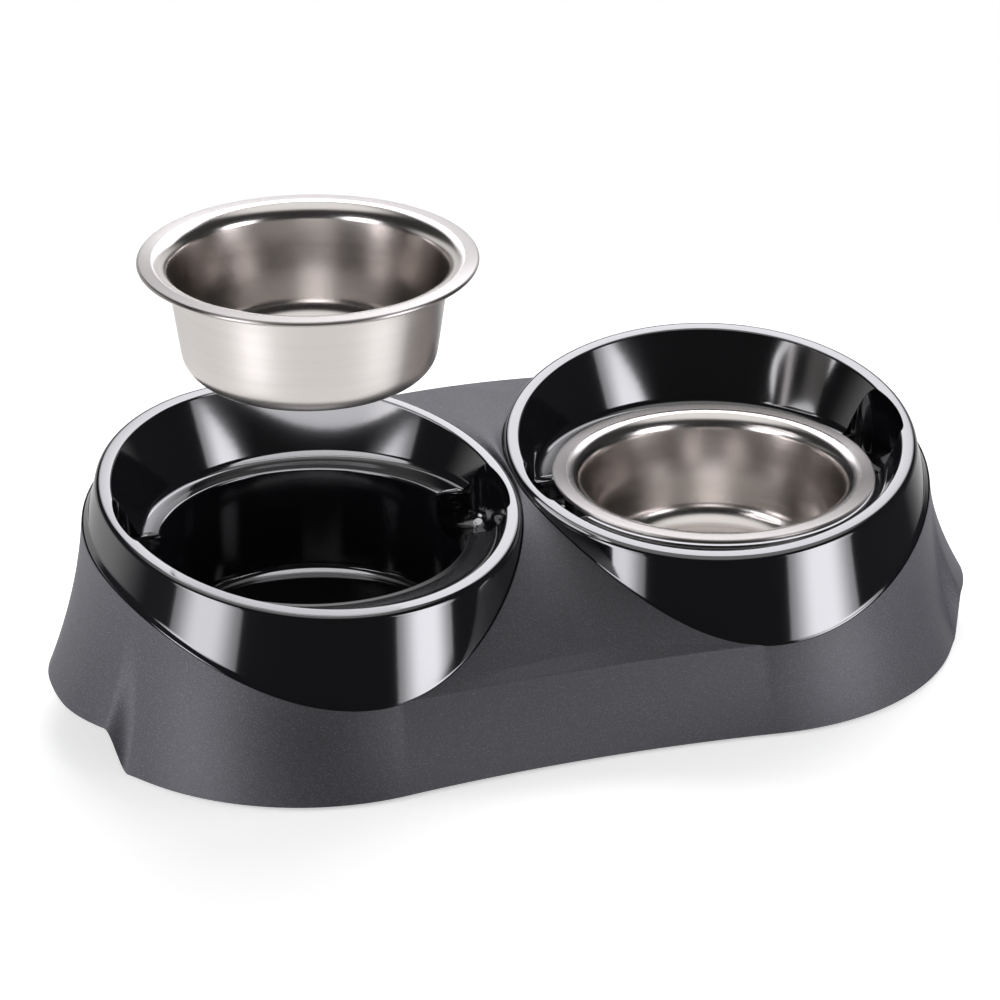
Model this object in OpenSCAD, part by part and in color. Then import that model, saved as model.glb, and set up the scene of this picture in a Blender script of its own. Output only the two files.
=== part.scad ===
// Raised double pet bowl: a moulded stand, two leaning holders and two lift-out steel bowls.
// The origin is on the floor under the middle of the stand, X runs from bowl to bowl, Y to the back.

/* [Bowls] */
// Outer radius of a bowl's lip
lip_radius = 80.5; // [74:0.5:86]
// Width of the flat top of the lip
lip_flat = 5.5; // [4:0.5:7]
// Thickness of the rolled edge
lip_roll = 2.5; // [2:0.1:3.2]
// Height of a bowl
bowl_height = 57; // [48:1:60]
// Thickness of the steel
steel = 1; // [0.8:0.1:1.4]
// Run of the curved shoulder from the lip in to the wall
shoulder_run = 8.5; // [6:0.5:10]
// Drop of the curved shoulder
shoulder_drop = 9; // [7:0.5:12]
// Lean of the bowl's wall, in to the base
wall_lean = 8; // [5:0.5:12]
// Radius of the bend at the base
base_bend = 12; // [8:0.5:16]
// How far a bowl lifts out of its holder
lift = 142; // [100:1:180]

/* [Holders] */
// Height of the ledge that a bowl's lip rests on
seat_height = 85.6; // [82:0.2:92]
// Width of the ledge under a seated lip
seat_land = 6.2; // [5:0.1:7]
// Radius of the ledge's inner edge
ledge_round = 1.2; // [0.8:0.1:1.8]
// Width of the ledge outside the lip
seat_margin = 5.5; // [4.5:0.5:7]
// Run from the ledge out to the rim, as seen from above
bank_run = 9.5; // [8:0.5:12]
// Width of the rim
rim_width = 7.3; // [6.5:0.1:9]
// Radius of the rim's outer edge
rim_round = 3; // [2:0.25:3.5]
// Radius of the rim's inner edge
rim_inner_round = 1.4; // [1:0.2:2]
// Angle at which a rim leans down to the front
rim_lean = 9.5; // [7:0.25:11]
// Angle at which a rim leans down to the middle of the stand
rim_cant = 3.3; // [2:0.1:4]
// Height of the rim's front above the ledge
rim_front_rise = 1.6; // [0.8:0.2:3]
// How far a rim sits behind its bowl
rim_setback = 6; // [4:0.5:8]
// Slope of the holder's outer wall at its inner side, as run over height
inner_flare_share = 0.08; // [0.04:0.01:0.12]
// Slope of the holder's outer wall at its outer side, as run over height
outer_flare_share = 0.25; // [0.12:0.01:0.28]
// Width of the flange at the foot of the outer wall
flange_width = 1.7; // [1:0.1:2.2]
// Height of that flange
flange_rise = 2.8; // [1.5:0.1:3.4]
// Wall of the moulded plastic
wall = 2.4; // [2:0.1:2.8]
// Gap under a seated bowl
under_bowl = 3; // [2:0.5:6]
// Radius of the bend at the bottom of the well
well_bend = 5; // [3:0.5:8]
// Half of the width of a finger scoop
scoop_half = 23; // [22:0.5:28]
// Depth of a finger scoop below the ledge
scoop_depth = 19; // [14:0.5:22]
// Radius of the bend round a scoop's floor
scoop_bend = 8; // [5:0.5:8]
// Radius of a scoop's outer corners
scoop_corner = 9; // [8.5:0.5:12]
// Radius of the edge between a scoop and the ledge
scoop_edge = 2; // [1:0.5:4]
// Half of the length of the notch that a scoop leaves in the rim
notch_half = 22; // [18:0.5:23]
// Width that the notch takes from the rim
notch_bite = 2.2; // [1.2:0.1:2.4]

/* [Stand] */
// Gap between the two rims
rim_gap = 2.6; // [2.2:0.1:5]
// How far the stand's foot line spreads beyond the rims
skirt_spread = 17; // [13:0.5:21]
// How far each end of the foot line is moved outward
skirt_shift = 4.3; // [2:0.1:7]
// Depth of the waist at the middle of the long sides
waist_in = 6.4; // [4:0.2:9]
// Drop from the rim to the joint line at the front
seam_front = 45; // [40:0.2:50]
// Drop from the rim to the joint line at the outer side
seam_outer = 20.4; // [18:0.2:26]
// Drop from the rim to the joint line at the inner side
seam_inner = 1.8; // [1.5:0.1:4]
// Drop from the rim to the joint line at the back
seam_back = 16.4; // [12:0.2:20]
// Width of the stand's edge outside a holder's flange
edge_width = 0.6; // [0.4:0.1:1.2]
// Distance from the foot line in to the front crease
crease_in = 13.4; // [11:0.2:16]
// Rise of the front crease towards the middle
crease_rise = 1.3; // [0:0.1:3]
// Width of the bevel above the front crease
bevel_width = 7.5; // [5:0.5:10]
// Height of the bevel above the front crease
bevel_rise = 4.9; // [3:0.1:7]
// Distance from the foot line in to the back edge
back_in = 10.4; // [8:0.2:14]
// Rise of the back edge towards the middle
back_rise = 1.6; // [0:0.1:3]
// Height of the hand grip at each end
grip_rise = 20.2; // [16:0.2:24]
// How far each grip's lip stands out
grip_reach = 7.8; // [6:0.2:11]
// Depth of the rebate that a holder's wall stands in
rebate = 4; // [3:0.2:5]
// Width of the shelf in the rebate
shelf = 1.9; // [1.4:0.1:2.1]

/* [Feet] */
// Height of a rubber foot below the stand
foot_drop = 1.5; // [1:0.1:2.5]
// Radius of a rubber foot
foot_radius = 7; // [5:0.5:8]
// Depth of the socket that a foot is pressed into
socket_depth = 3.5; // [2.5:0.1:5]
// Wall round a socket
socket_wall = 1.8; // [1.5:0.1:2.4]
// Radius of the edge of a foot
foot_edge = 0.6; // [0.3:0.1:0.9]

/* [Hidden] */
// Gap between fixed parts that fit together
fit = 0.3;
// Overrun of a cut past the face it goes through
over = 1;
// Angles from a grip's middle over which its lip comes in, and over which its edge comes down
reach_angle = 6;
reach_end_angle = 33;
rise_angle = 21.7;
rise_end_angle = 28.2;
// Angles of the feet round each end of the stand
foot_angle = 62;
// Angle round a holder at which the back edge runs into the joint line
back_meet = 115;
// Angle round a holder at which the lines to the middle begin and end
saddle_front = -118;
saddle_back = -228;
// How fast the joint line climbs away from the front, outside and inside
outer_power = 2.8;
inner_power = 2.7;
// How fast the saddle levels out to the back
saddle_power = 3;
// Least width of the flange and the edge, as a share of their width at the outer side
least_share = 0.05;
// Part of the skirt's spread that is straight
skirt_straight_share = 0.3;
// Facets of the revolved parts, steps of their small arcs, rows and columns of the skins
round_fn = 144;
arc_steps = 6;
edge_steps = 4;
bend_rows = 4;
edge_rows = 3;
end_steps = 6;
holder_columns = 64;
skirt_rows = 7;
saddle_rows = 5;
crease_columns = 10;
back_columns = 6;
middle_columns = 18;
seam_step = 5;
grip_step = 4.4;
rise_step = 1.1;

// Sizes that follow
lip_top = seat_height + lip_roll;
throat = lip_radius - lip_roll / 2 - lip_flat;
wall_slope = tan(wall_lean);
shoulder_turn = atan(wall_slope * shoulder_drop / shoulder_run);
shoulder_foot = [
    throat - shoulder_run * cos(shoulder_turn),
    bowl_height - shoulder_drop * (1 - sin(shoulder_turn))
];
well_radius = lip_radius - seat_land;
floor_height = lip_top - bowl_height - under_bowl;
seat_radius = lip_radius + seat_margin;
bank_radius = seat_radius + bank_run;
rim_radius = bank_radius + rim_width;
half_spacing = rim_radius + rim_gap / 2;
lean = tan(rim_lean);
cant = tan(rim_cant);
rim_height = seat_height + rim_front_rise + lean * rim_radius;
bank_slope = (bank_radius + rim_setback - seat_radius) / (rim_at(0, seat_radius - rim_setback) - seat_height);
bank_wall = wall * norm([1, bank_slope]);
rim_top = rim_height + (lean + cant) * rim_radius + over;
scoop_floor = seat_height - scoop_depth;
notch_reach = bank_radius + notch_bite;
notch_centre = notch_bite * (notch_reach + bank_radius)
    / (2 * (notch_reach - sqrt(pow(bank_radius, 2) - pow(notch_half, 2))));
scoop_start = well_radius - shoulder_run;
foot_line = foot_drop;
skirt_radius = rim_radius + skirt_spread;
skirt_centre = half_spacing + skirt_shift;
waist = skirt_radius - waist_in;
waist_arc = (pow(skirt_centre, 2) + pow(waist, 2) - pow(skirt_radius, 2)) / (2 * (skirt_radius - waist));
waist_angle = 90 + atan(skirt_centre / (waist_arc + waist));
waist_reach = skirt_centre + skirt_radius * cos(waist_angle);

// The rim's plane, from its middle: outward x and backward y
function rim_at(x, y) = rim_height + lean * y + cant * x;
function ease(x) = let (t = min(1, max(0, x))) t * t * (3 - 2 * t);
function mix(a, b, t) = a * (1 - t) + b * t;

// Drop from the rim to the joint line, at an angle from the outward side of a holder
function seam_drop(a) =
    let (side = cos(a) > 0 ? seam_outer : seam_inner)
    let (power = cos(a) > 0 ? outer_power : inner_power)
    sin(a) < 0
    ? side + (seam_front - side) * pow(-sin(a), power)
    : side + (seam_back - side) * pow(sin(a), 2);
// Slope of the outer wall there. It leans out most at the outer side
function flare_at(a) = mix(inner_flare_share, outer_flare_share, pow((1 + cos(a)) / 2, 2));
// Height of the joint line there, and a point some way out from the holder's wall and up from the line
function seam_height(a) =
    let (drop = seam_drop(a))
    let (r = rim_radius + flare_at(a) * drop)
    rim_at(r * cos(a), r * sin(a)) - drop;
function seam_point(a, out, up) =
    let (r = rim_radius + flare_at(a) * (seam_drop(a) - up) + out)
    [half_spacing + r * cos(a), rim_setback + r * sin(a), seam_height(a) + up];
// The flange and the edge narrow to almost nothing at the front and between the holders
function narrowed(a, width) = width * mix(least_share, 1, max(0, cos(a)));
function flange_at(a) = narrowed(a, flange_width);
function seam_edge(a) = seam_point(a, narrowed(a, flange_width + edge_width) + fit, 0);
function seam_chain(a) = [
    seam_edge(a),
    seam_point(a, flange_at(a) + fit, 0),
    seam_point(a, flange_at(a) + fit, -rebate),
    seam_point(a, -shelf, -rebate),
    seam_point(a, -shelf, -rebate - wall),
];
function seam_inside(a) = seam_chain(a)[4];

// The foot line: an arc round each end, joined by a hollow arc at the waist
function waist_y(x) = waist_arc + waist - sqrt(pow(waist_arc, 2) - pow(x, 2));
function end_point(a, inset) =
    let (lip = 1 - ease((abs(a) - reach_angle) / (reach_end_angle - reach_angle)))
    let (climb = 1 - ease((abs(a) - rise_angle) / (rise_end_angle - rise_angle)))
    let (r = skirt_radius + grip_reach * lip - inset)
    [skirt_centre + r * cos(a), r * sin(a), foot_line + grip_rise * climb];
function waist_point(x, side, inset) = [x, side * (waist_y(x) - inset), foot_line];

// The lines that the saddle between the holders runs to, by their share of the way to the middle
tip_front = seam_edge(-waist_angle);
tip_back = seam_edge(back_meet);
middle_crease = [0, crease_in - waist, tip_front[2] + crease_rise];
middle_bevel = middle_crease + [0, bevel_width, bevel_rise];
middle_back = [0, waist - back_in, tip_back[2] + back_rise];
function bowed(tip, middle, t) =
    let (back = pow(1 - t, 2))
    [mix(tip[0], 0, t), mix(middle[1], tip[1], back), mix(middle[2], tip[2], back)];
function crease_line(t) = bowed(tip_front, middle_crease, t);
function bevel_line(t) = bowed(tip_front, middle_bevel, t);
function back_line(t) = bowed(tip_back, middle_back, t);
// Height of the saddle along the middle of the stand
function spine_height(y) =
    let (t = (y - middle_bevel[1]) / (middle_back[1] - middle_bevel[1]))
    mix(middle_bevel[2], middle_back[2], 1 - pow(1 - t, saddle_power));
function spine_y(t) =
    let (seam_y = seam_edge(mix(saddle_front, saddle_back, t))[1])
    let (front_gap = middle_bevel[1] - seam_edge(saddle_front)[1])
    let (back_gap = middle_back[1] - seam_edge(saddle_back)[1])
    seam_y + pow(1 - 2 * t, 2) * (t < 0.5 ? front_gap : back_gap);
function spine(t) = let (y = spine_y(t)) [0, y, spine_height(y)];

// Stations: front crease, joint line round the outside, back edge
crease_shares = [for (i = [0 : crease_columns]) i / crease_columns];
back_shares = [for (i = [0 : back_columns]) i / back_columns];
middle_shares = [for (i = [0 : middle_columns]) i / middle_columns];
function stations(from, to, step) =
    let (count = round((to - from) / step))
    [for (i = [0 : count - 1]) mix(from, to, i / count)];
outer_angles = concat(
    stations(-waist_angle, -rise_end_angle, seam_step),
    stations(-rise_end_angle, -rise_angle, rise_step),
    stations(-rise_angle, rise_angle, grip_step),
    stations(rise_angle, rise_end_angle, rise_step),
    stations(rise_end_angle, back_meet, seam_step),
    [back_meet]);
front_angles = [for (t = crease_shares) mix(-waist_angle, saddle_front, t)];
spine_angles = [for (t = middle_shares) mix(saddle_front, saddle_back, t)];
back_angles = [for (t = back_shares) t == 1 ? back_meet : mix(saddle_back, back_meet - 360, t)];
function tail(list) = [for (i = [1 : len(list) - 1]) list[i]];
saddle_angles = concat(front_angles, tail(spine_angles), tail(back_angles));
function turned(list) = [for (i = [len(list) - 1 : -1 : 0]) list[i]];

// The skirt's top and foot at each station, on its outside or its inside
function inward(p, d) = p - [0, sign(p[1]) * d, 0];
function sunk(p) = p - [0, 0, wall];
function crease_top(t, inside) =
    !inside ? crease_line(t)
    : t == 0 ? seam_inside(-waist_angle)
    : sunk(inward(crease_line(t), wall));
function bevel_top(t, inside) =
    !inside ? bevel_line(t)
    : t == 0 ? seam_inside(-waist_angle)
    : sunk(bevel_line(t));
function back_top(t, inside) =
    !inside ? back_line(t)
    : t == 0 ? seam_inside(back_meet)
    : sunk(inward(back_line(t), wall));
function spine_top(t, inside) = inside ? sunk(spine(t)) : spine(t);
function seam_top(a, inside) = inside ? seam_inside(a) : seam_edge(a);
function seam_foot(a, inset) =
    a <= waist_angle
    ? end_point(a, inset)
    : waist_point(mix(waist_reach, tip_back[0], (a - waist_angle) / (back_meet - waist_angle)), 1, inset);
function skirt_ends(inside) =
    let (inset = inside ? wall : 0)
    concat(
        [for (t = turned(tail(crease_shares)))
            [crease_top(t, inside), waist_point(mix(waist_reach, 0, t), -1, inset)]],
        [for (a = outer_angles) [seam_top(a, inside), seam_foot(a, inset)]],
        [for (t = tail(back_shares))
            [back_top(t, inside), waist_point(mix(tip_back[0], 0, t), 1, inset)]]);
// A skirt line drops from its top and turns outward to its foot
function skirt_point(ends, t) =
    let (out = skirt_straight_share * t + (1 - skirt_straight_share) * t * t)
    [mix(ends[0][0], ends[1][0], out), mix(ends[0][1], ends[1][1], out), mix(ends[0][2], ends[1][2], t)];
function skirt_line(ends) = [for (j = [0 : skirt_rows]) skirt_point(ends, j / skirt_rows)];
function skirt_skin(inside) = [for (ends = skirt_ends(inside)) skirt_line(ends)];
function foot_strip() =
    let (outer = skirt_skin(false))
    let (inner = skirt_skin(true))
    [for (i = [0 : len(outer) - 1]) [outer[i][skirt_rows], inner[i][skirt_rows]]];
function bevel_skin(inside) = [for (t = crease_shares) [bevel_top(t, inside), crease_top(t, inside)]];
function saddle_far(inside) = concat(
    [for (t = crease_shares) bevel_top(t, inside)],
    [for (t = middle_shares) if (t > 0 && t < 1) spine_top(t, inside)],
    [for (t = turned(back_shares)) back_top(t, inside)]);
function saddle_skin(inside) =
    let (far = saddle_far(inside))
    [for (i = [0 : len(far) - 1])
        let (near = seam_top(saddle_angles[i], inside))
        [for (j = [0 : saddle_rows]) near == far[i] ? near : mix(near, far[i], j / saddle_rows)]];
function opening_strip() = [for (a = concat(tail(outer_angles), tail(turned(saddle_angles)))) seam_chain(a)];

// A patch is a list of lines of points. It gives triangles, and drops those that have no area
function facing(tri, flip) = flip ? [tri[2], tri[1], tri[0]] : tri;
function has_area(tri) = tri[0] != tri[1] && tri[1] != tri[2] && tri[2] != tri[0];
function triangles(patch, flip) = [
    for (i = [0 : len(patch) - 2], j = [0 : len(patch[i]) - 2])
        let (a = patch[i][j], b = patch[i + 1][j], c = patch[i + 1][j + 1], d = patch[i][j + 1])
        for (tri = [[a, b, c], [a, c, d]])
            if (has_area(tri)) facing(tri, flip)
];
function closed(patch) = concat(patch, [patch[0]]);
function across(p) = [p[0] == 0 ? 0 : -p[0], p[1], p[2]];
function mirrored(tris) = [for (tri = tris) [across(tri[2]), across(tri[1]), across(tri[0])]];
function half_skin() = concat(
    triangles(skirt_skin(false), false),
    triangles(skirt_skin(true), true),
    triangles(foot_strip(), false),
    triangles(bevel_skin(false), true),
    triangles(bevel_skin(true), false),
    triangles(saddle_skin(false), true),
    triangles(saddle_skin(true), false),
    triangles(closed(opening_strip()), true));

module skin(tris) {
    polyhedron(
        points = [for (tri = tris) each tri],
        faces = [for (i = [0 : len(tris) - 1]) [3 * i, 3 * i + 1, 3 * i + 2]]);
}

module stand_shell() {
    half = half_skin();
    skin(concat(half, mirrored(half)));
}

// A solid between rings of points, from the lowest to the highest. Strips across close both ends
module lofted(rings) {
    count = len(rings[0]);
    top = count * (len(rings) - 1);
    sides = [
        for (i = [0 : len(rings) - 2], j = [0 : count - 1])
            let (a = i * count + j, b = i * count + (j + 1) % count)
            for (tri = [[a, a + count, b + count], [a, b + count, b]]) tri
    ];
    strips = [
        for (j = [0 : floor(count / 2) - 1])
            let (last = count - 1 - j)
            for (tri = [[j, j + 1, last], [j + 1, last - 1, last]])
                if (tri[0] < tri[1]) tri
    ];
    tops = [for (tri = strips) [for (k = turned(tri)) top + k]];
    polyhedron(points = [for (ring = rings) each ring], faces = concat(strips, sides, tops));
}

// A foot's socket is set into half of the skirt's wall at its top
function foot_place(side) =
    let (ends = [seam_inside(side * foot_angle), end_point(side * foot_angle, wall)])
    let (p = skirt_point(ends, 1 - (socket_depth + wall) / (ends[0][2] - ends[1][2])))
    let (out = [p[0] - skirt_centre, p[1]])
    [skirt_centre, 0] + out * (1 - (foot_radius + socket_wall - wall / 2) / norm(out));
module at_foot(x, y) {
    place = foot_place(y);
    translate([x * place[0], place[1], 0]) children();
}

module at_feet() {
    for (x = [-1, 1], y = [-1, 1]) at_foot(x, y) children();
}

module stand() {
    color("#3d3b42") difference() {
        union() {
            stand_shell();
            at_feet() translate([0, 0, foot_line])
                cylinder(r = foot_radius + socket_wall, h = socket_depth + wall, $fn = round_fn);
        }
        at_feet() cylinder(r = foot_radius + fit / 2, h = foot_line + socket_depth, $fn = round_fn);
    }
}

module at_bowl() {
    translate([half_spacing, 0, 0]) children();
}

function arc(centre, r, from, to, steps) = [
    for (i = [0 : steps]) let (a = mix(from, to, i / steps)) centre + r * [cos(a), sin(a)]
];
// Arc between the rim's top and a wall, by radius and height. The wall's slope is its run over its drop,
// and out is 1 for the rim's outer edge and -1 for its inner edge
function edge_arc(r, slope, round, out) =
    let (n = norm([1, slope]))
    let (centre = [r + slope * round * (1 - out * slope / n) - out * round / n, -round])
    arc(centre, round, 90, out > 0 ? atan(slope) : 180 + atan(slope), edge_steps);
// A point at an angle round the rim's middle, by radius and by height over the rim or over the floor
function rim_point(a, r, h) =
    [half_spacing + r * cos(a), rim_setback + r * sin(a), rim_at(r * cos(a), r * sin(a)) + h];
function level_point(a, r, z) = [half_spacing + r * cos(a), rim_setback + r * sin(a), z];
// Radius at which a wall from radius r at the rim, in with the bank's slope, is down at height z
function bank_at(a, r, z) =
    (z - rim_height + r / bank_slope) / (lean * sin(a) + cant * cos(a) + 1 / bank_slope);

// The leaning part of a holder, from the foot of its wall over flange, rim and bank to the ledge and back
function holder_section(a) = concat(
    [
        seam_point(a, flange_at(a), fit - rebate),
        seam_point(a, flange_at(a), 0),
        seam_point(a, 0, narrowed(a, flange_rise)),
    ],
    [for (p = turned(edge_arc(rim_radius, flare_at(a), rim_round, 1))) rim_point(a, p[0], p[1])],
    [for (p = edge_arc(bank_radius, -bank_slope, rim_inner_round, -1)) rim_point(a, p[0], p[1])],
    [
        level_point(a, bank_at(a, bank_radius, seat_height), seat_height),
        level_point(a, scoop_start, seat_height),
        level_point(a, scoop_start, seat_height - wall),
        level_point(a, bank_at(a, bank_radius + bank_wall, seat_height - wall), seat_height - wall),
        rim_point(a, bank_radius + bank_wall - bank_slope * wall, -wall),
        rim_point(a, rim_radius + flare_at(a) * wall - wall, -wall),
        seam_point(a, -wall, fit - rebate),
    ]);
module holder_shell() {
    rings = [
        for (i = [0 : holder_columns])
            closed(holder_section(360 * (i % holder_columns) / holder_columns))
    ];
    skin(triangles(rings, true));
}

module well_outside() {
    bend = well_bend + wall;
    r = well_radius + wall;
    z = floor_height - wall;
    at_bowl() rotate_extrude($fn = round_fn) polygon(concat(
        [[0, seat_height - wall / 2], [0, z]],
        arc([r - bend, z + bend], bend, -90, 0, arc_steps),
        [[r, seat_height - wall / 2]]));
}

module well_inside() {
    at_bowl() rotate_extrude($fn = round_fn) polygon(concat(
        [[0, seat_height + over], [0, floor_height]],
        arc([well_radius - well_bend, floor_height + well_bend], well_bend, -90, 0, arc_steps),
        arc([well_radius + ledge_round, seat_height - ledge_round], ledge_round, 180, 90, arc_steps),
        [[well_radius + ledge_round, seat_height + over]]));
}

// How far out from a bowl's axis the ledge meets the bank, on either side, at y behind the axis
function bank_foot(side, y) =
    let (m = side * cant * bank_slope)
    let (k = bank_radius - bank_slope * (rim_at(0, y - rim_setback) - seat_height))
    let (reach = sqrt(pow(k * m, 2) + (1 - m * m) * (k * k - pow(y - rim_setback, 2))))
    (reach - k * m) / (1 - m * m);
// Height of the ledge, the bank or the rim over a point beside a bowl's axis
function top_height(x, y) =
    let (below_rim = max(0, bank_radius - norm([x, y - rim_setback])) / bank_slope)
    max(seat_height, rim_at(x, y - rim_setback) - below_rim);
// Outline of a finger scoop from above, round from its front: side, corner, end, corner, side
function scoop_outline(side, inset, flare) =
    let (half = scoop_half - inset)
    let (r = notch_reach - notch_centre - inset)
    let (corner = scoop_corner - inset)
    let (swing = asin((half - corner) / (r - corner)))
    let (corner_x = notch_centre + (r - corner) * cos(swing))
    let (end = [
        for (i = [1 : end_steps - 1])
            let (a = mix(-swing, swing, i / end_steps))
            [notch_centre + r * cos(a), r * sin(a)]
    ])
    let (edge = [for (y = [-half, half]) min(bank_foot(side, y), corner_x - scoop_edge / 2)])
    let (outline = concat(
        [[scoop_start, -half - flare], [edge[0], -half - flare]],
        arc([corner_x, corner - half], corner, -90, -swing, edge_steps),
        end,
        arc([corner_x, half - corner], corner, swing, 90, edge_steps),
        [[edge[1], half + flare], [scoop_start, half + flare]]))
    side > 0 ? outline : [for (p = turned(outline)) [-p[0], p[1]]];
function scoop_ring(side, z, inset, flare) = [for (p = scoop_outline(side, inset, flare)) [p[0], p[1], z]];
// The bend round a scoop's floor
function bend_rings(side, grow) = [
    for (i = [0 : bend_rows])
        let (a = 90 * i / bend_rows)
        let (bend = scoop_bend + grow)
        scoop_ring(side, scoop_floor - grow + bend * (1 - cos(a)), bend * (1 - sin(a)) - grow, 0)
];
module scoop_walls() {
    at_bowl() for (side = [-1, 1]) {
        under_top = [for (p = scoop_outline(side, -wall, 0)) [p[0], p[1], top_height(p[0], p[1]) - wall / 2]];
        lofted(concat(bend_rings(side, wall), [under_top]));
    }
}

// The hollow of a scoop widens to a round edge at the ledge
module scoop_hollows() {
    at_bowl() for (side = [-1, 1]) {
        edge = [for (i = [0 : edge_rows])
            let (a = 90 * i / edge_rows)
            scoop_ring(side, seat_height - scoop_edge * (1 - sin(a)), 0, scoop_edge * (1 - cos(a)))];
        above = [for (z = [seat_height + fit, rim_top]) scoop_ring(side, z, 0, 0)];
        lofted(concat(bend_rings(side, 0), edge, above));
    }
}

module holder() {
    color("#101013") difference() {
        union() {
            holder_shell();
            well_outside();
            scoop_walls();
        }
        well_inside();
        scoop_hollows();
    }
}

module left_holder() {
    mirror([1, 0, 0]) holder();
}

module right_holder() {
    holder();
}

// A bowl's upper skin from its middle out to the lip, by radius and height over its base
function bowl_skin() =
    let (bend_z = steel + base_bend)
    let (wall_r = shoulder_foot[0] - wall_slope * (shoulder_foot[1] - bend_z))
    let (bend_r = wall_r - base_bend * norm([1, wall_slope]))
    concat(
        [[0, steel]],
        arc([bend_r, bend_z], base_bend, -90, -wall_lean, arc_steps),
        [for (i = [0 : arc_steps])
            let (a = mix(180 - shoulder_turn, 90, i / arc_steps))
            [throat + shoulder_run * cos(a), bowl_height - shoulder_drop * (1 - sin(a))]]);
module bowl() {
    skin = bowl_skin();
    bead = lip_roll / 2;
    under = [for (i = [0 : len(skin) - 2])
        let (along = skin[i + 1] - skin[max(0, i - 1)])
        skin[i] + steel * [along[1], -along[0]] / norm(along)];
    bead_end = -180 - asin((bead - steel) / bead);
    rolled = arc([lip_radius - bead, bowl_height - bead], bead, 90, bead_end, 2 * arc_steps);
    color("#b9b4ae") rotate_extrude($fn = round_fn) polygon(concat(skin, rolled, turned(under)));
}

module left_bowl() {
    translate([-half_spacing, 0, lip_top - bowl_height + lift]) bowl();
}

module right_bowl() {
    translate([half_spacing, 0, lip_top - bowl_height]) bowl();
}

module foot(x, y) {
    profile = concat(
        [[0, 0]],
        arc([foot_radius - foot_edge, foot_edge], foot_edge, -90, 0, edge_steps),
        [[foot_radius, foot_line + socket_depth], [0, foot_line + socket_depth]]);
    color("#8d8b8f") at_foot(x, y) rotate_extrude($fn = round_fn / 3) polygon(profile);
}

module front_left_foot() {
    foot(-1, -1);
}

module front_right_foot() {
    foot(1, -1);
}

module back_left_foot() {
    foot(-1, 1);
}

module back_right_foot() {
    foot(1, 1);
}

stand();
left_holder();
right_holder();
left_bowl();
right_bowl();
front_left_foot();
front_right_foot();
back_left_foot();
back_right_foot();
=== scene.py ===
"""Raised double pet bowl: the looks of its stand, holders, bowls and feet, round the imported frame."""

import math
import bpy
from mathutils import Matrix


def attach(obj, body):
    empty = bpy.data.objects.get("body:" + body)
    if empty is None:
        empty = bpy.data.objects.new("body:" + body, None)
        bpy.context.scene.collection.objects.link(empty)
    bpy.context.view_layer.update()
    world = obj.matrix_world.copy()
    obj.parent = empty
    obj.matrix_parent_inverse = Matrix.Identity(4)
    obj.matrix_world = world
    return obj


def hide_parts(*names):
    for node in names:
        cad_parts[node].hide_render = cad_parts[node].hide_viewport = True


bl_info = {
    "name": "Raised Double Pet Bowl",
    "version": (1, 0, 0),
    "blender": (4, 5, 0),
    "location": "View3D > Sidebar > Pet Bowl",
    "description": "Makes a raised double pet bowl: a stand, gloss holders, steel bowls and rubber feet",
    "category": "Object",
}

import bmesh
import bpy
import numpy as np
from bpy.props import FloatProperty, FloatVectorProperty, PointerProperty
from mathutils import Matrix, Vector
from mathutils.bvhtree import BVHTree

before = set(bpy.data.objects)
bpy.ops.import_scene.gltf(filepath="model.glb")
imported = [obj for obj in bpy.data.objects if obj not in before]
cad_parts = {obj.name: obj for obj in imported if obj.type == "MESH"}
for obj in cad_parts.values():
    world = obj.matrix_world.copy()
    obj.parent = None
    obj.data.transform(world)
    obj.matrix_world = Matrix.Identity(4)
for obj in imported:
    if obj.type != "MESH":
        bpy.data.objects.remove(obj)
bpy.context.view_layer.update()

STAND_BODY = "stand"
BOWL_BODIES = {-1: "left_bowl", 1: "right_bowl"}
HOLDER_NODES = {-1: "left_holder", 1: "right_holder"}
FEET = {
    "front_left_foot": (-1, -1),
    "front_right_foot": (1, -1),
    "back_left_foot": (-1, 1),
    "back_right_foot": (1, 1),
}

# Angles round a holder, measured from its outward side, where the lines of the stand begin and end
REACH_ANGLE = math.radians(6)
REACH_END_ANGLE = math.radians(33)
RISE_ANGLE = math.radians(21.7)
RISE_END_ANGLE = math.radians(28.2)
FOOT_ANGLE = math.radians(62)
BACK_MEET = math.radians(115)
SADDLE_FRONT = math.radians(-118)
SADDLE_BACK = math.radians(-228)
TURN = 2 * math.pi

# How fast the joint line and the saddle level out, and shares of a width, a spread and a side
OUTER_POWER = 2.8
INNER_POWER = 2.7
SADDLE_POWER = 3
LEAST_SHARE = 0.05
SKIRT_STRAIGHT_SHARE = 0.3
CORNER_SHARE = 0.45

# Shares of the saddle's half width that its rounded middle takes up, and of its length that the ends take up
CROWN = 0.7
CROWN_FADE = 0.12

# Rows, columns and steps of the meshes
HOLDER_COLUMNS = 240
SPUN_COLUMNS = 256
FOOT_COLUMNS = 64
SKIRT_ROWS = 22
INNER_ROWS = 8
SADDLE_ROWS = 12
BEVEL_ROWS = 3
SADDLE_COUNTS = (1, SADDLE_ROWS)
EDGE_STEPS = 8
ARC_STEPS = 12
FLANGE_STEPS = 3
SLOPE_STEPS = 2
FLOOR_RINGS = 5
CREASE_STATIONS = 40
CREASE_CROWDING = 1.3
SPINE_STATIONS = 80
BACK_STATIONS = 24
SEAM_STEP = math.radians(1.6)
RISE_STEP = math.radians(0.33)

# Rings of a well's and of a bowl's bottom and points up a bowl's wall, as shares of the radius or the wall,
# and points beside a softened corner, as shares of the reach
WELL_RINGS = (0, 0.2, 0.5, 0.8)
BASE_RINGS = (0, 0.3, 0.6, 0.85)
WALL_POINTS = (0.25, 0.5, 0.75)
NEAR_POINTS = np.array((0, 0.2, 0.45, 0.72, 1.0, 1.35))

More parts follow.
